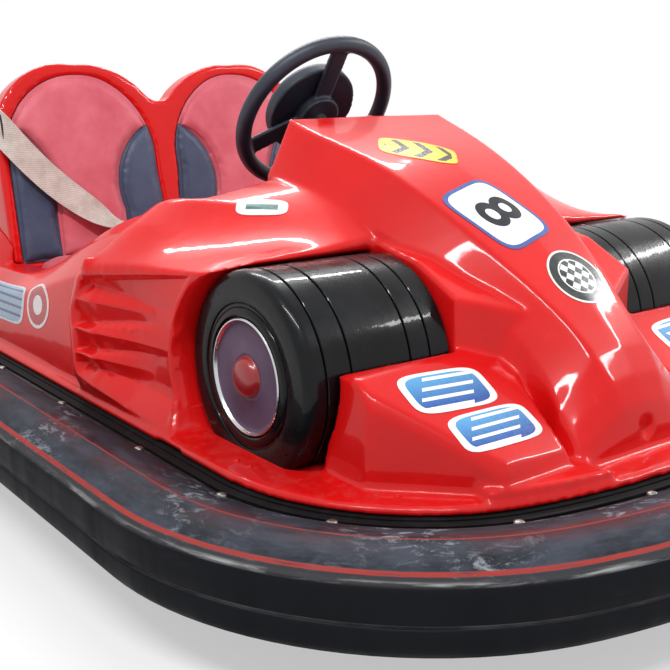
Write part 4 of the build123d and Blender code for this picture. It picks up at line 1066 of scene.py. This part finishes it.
# yellow film with three dark chevrons
chevrons, tree, shader, across_film, up_film, rim, ink = start_film("chevron_film", "F0C814")
slant = add_node(tree, "Math", {0: up_film, 1: 0}, operation="ABSOLUTE")
slant = add_node(tree, "Math", {0: slant, 1: 0.38}, operation="MULTIPLY")
bars = across_film
for operation, value in (("ADD", slant), ("ADD", 1), ("MULTIPLY", 1.7), ("FRACT", 0), ("LESS_THAN", 0.36)):
    bars = add_node(tree, "Math", {0: bars, 1: value}, operation=operation)
ink = add_node(tree, "Mix", {0: bars, 6: ink, 7: colour("2A2622")})
print_rings(tree, shader, ink, rim, (0.86, "F0C814"))
sticker("sticker_chevrons", (418, 150), (457, 158), tall=0.07, squareness=5, finish=chevrons)

# white film with a thin blue border and a plain number
number_film, tree, shader, across_film, up_film, rim, ink = start_film("number_film", "EFF0F0")
print_rings(tree, shader, ink, rim, (0.9, "3E5A9C"))
middle, half, up = sticker(
    "sticker_number_plate", (497, 212), (536, 240), tall=0.125, squareness=5, finish=number_film)[1:]
bpy.ops.object.select_all(action="DESELECT")
bpy.ops.object.text_add()
digit = bpy.context.object
digit.data.body, digit.data.size = "8", 2.0
digit.data.align_x, digit.data.align_y = "CENTER", "CENTER"
digit.data.offset = 0.03
bpy.ops.object.convert(target="MESH")
digit = new_mesh_piece("sticker_number")
bpy.ops.object.mode_set(mode="EDIT")
bpy.ops.mesh.select_all(action="SELECT")
bpy.ops.mesh.subdivide(number_cuts=3)
bpy.ops.object.mode_set(mode="OBJECT")
share_of_plate = 0.86
lay_on_body(digit, middle, half * share_of_plate, up * share_of_plate, lift=0.0013)
# black film, cut to the digit and scuffed
digit_film = worn_finish("digit_film", "1B1E26", "30343E", 0.3, specular=0.3)[0]
digit.data.materials.clear()
digit.data.materials.append(digit_film)

# round film: a dark ring with pale edges round a chequered middle
disc_film, tree, shader, across_film, up_film, rim, ink = start_film("chequer_film", "E9ECE8")
squares = []
for row in (across_film, up_film):
    for operation, value in (("ADD", 2), ("MULTIPLY", 4.2), ("FLOOR", 0)):
        row = add_node(tree, "Math", {0: row, 1: value}, operation=operation)
    squares.append(row)
odd = add_node(tree, "Math", {0: squares[0], 1: squares[1]}, operation="ADD")
odd = add_node(tree, "Math", {0: odd, 1: 2}, operation="MODULO")
ink = add_node(tree, "Mix", {0: odd, 6: ink, 7: colour("1E2A26")})
print_rings(tree, shader, ink, rim, (0.6, "E9ECE8"), (0.65, "1F2725"), (0.93, "E9ECE8"))
sticker("sticker_chequer", (577, 276), (606, 292), tall=0.108, squareness=2, finish=disc_film)

# blue films with a pale border and three white stripes that end in points
stripe_film, tree, shader, across_film, up_film, rim, ink = start_film("stripe_film", "1D4E9E")
shine = add_node(tree, "MapRange", {0: up_film, 1: -0.7, 2: 0.8, 3: 0, 4: 0.75})
ink = add_node(tree, "Mix", {0: shine, 6: ink, 7: colour("62B4E4")})
stripe = up_film
for operation, value in (
    ("ADD", 1), ("MULTIPLY", 2.1), ("FRACT", 0), ("SUBTRACT", 0.5), ("ABSOLUTE", 0), ("LESS_THAN", 0.17),
):
    stripe = add_node(tree, "Math", {0: stripe, 1: value}, operation=operation)
slant = add_node(tree, "Math", {0: up_film, 1: 0.35}, operation="MULTIPLY")
ends = across_film
for operation, value in (("SUBTRACT", slant), ("ABSOLUTE", 0), ("LESS_THAN", 0.62)):
    ends = add_node(tree, "Math", {0: ends, 1: value}, operation=operation)
stripe = add_node(tree, "Math", {0: stripe, 1: ends}, operation="MULTIPLY")
ink = add_node(tree, "Mix", {0: stripe, 6: ink, 7: colour("F1F4F6")})
print_rings(tree, shader, ink, rim, (0.85, "F1F4F6"))
upper = sticker("sticker_stripes_upper_right", (448, 390), (488, 383), tall=0.068, squareness=4.5,
                finish=stripe_film)[0]
lower = sticker("sticker_stripes_lower_right", (496, 427), (533, 417), tall=0.06, squareness=4.5,
                finish=stripe_film)[0]

# small white film with a green bar
bar_film, tree, shader, across_film, up_film, rim, ink = start_film("bar_film", "E4E6E4")
within = []
for row, reach in ((up_film, 0.36), (across_film, 0.62)):
    row = add_node(tree, "Math", {0: row, 1: 0}, operation="ABSOLUTE")
    within.append(add_node(tree, "Math", {0: row, 1: reach}, operation="LESS_THAN"))
bar = add_node(tree, "Math", {0: within[0], 1: within[1]}, operation="MULTIPLY")
ink = add_node(tree, "Mix", {0: bar, 6: ink, 7: colour("3D6B66")})
feed(shader, {"Base Color": ink})
small = sticker("sticker_bar_right", (262, 207), (288, 208), tall=0.042, squareness=3.5,
                finish=bar_film)[0]

# pale film with thin stripes, at the rear
rear_film, tree, shader, across_film, up_film, rim, ink = start_film("pale_stripe_film", "8FA6C0")
lines = up_film
for operation, value in (("ADD", 1), ("MULTIPLY", 2.5), ("FRACT", 0), ("LESS_THAN", 0.3)):
    lines = add_node(tree, "Math", {0: lines, 1: value}, operation=operation)
ink = add_node(tree, "Mix", {0: lines, 6: ink, 7: colour("4A4C66")})
print_rings(tree, shader, ink, rim, (0.9, "C9CCD4"))
banner = sticker("sticker_banner_right", (5, 299), (24, 306), tall=0.075, squareness=6,
                finish=rear_film)[0]

# red disc with a pale middle and a pale rim, at the rear
ring_film, tree, shader, across_film, up_film, rim, ink = start_film("ring_film", "B53238")
dot = add_node(tree, "Math", {0: rim, 1: 0.42}, operation="LESS_THAN")
ink = add_node(tree, "Mix", {0: dot, 6: ink, 7: colour("E3DADA")})
print_rings(tree, shader, ink, rim, (0.86, "E3DADA"))
ring = sticker("sticker_ring_right", (38, 305), (49, 308), tall=0.082, squareness=2,
                finish=ring_film)[0]

# the films on the right have twins on the left
for film in (upper, lower, small, banner, ring):
    twin = mirrored(film, film.name.replace("right", "left"))
    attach(twin, "chassis")
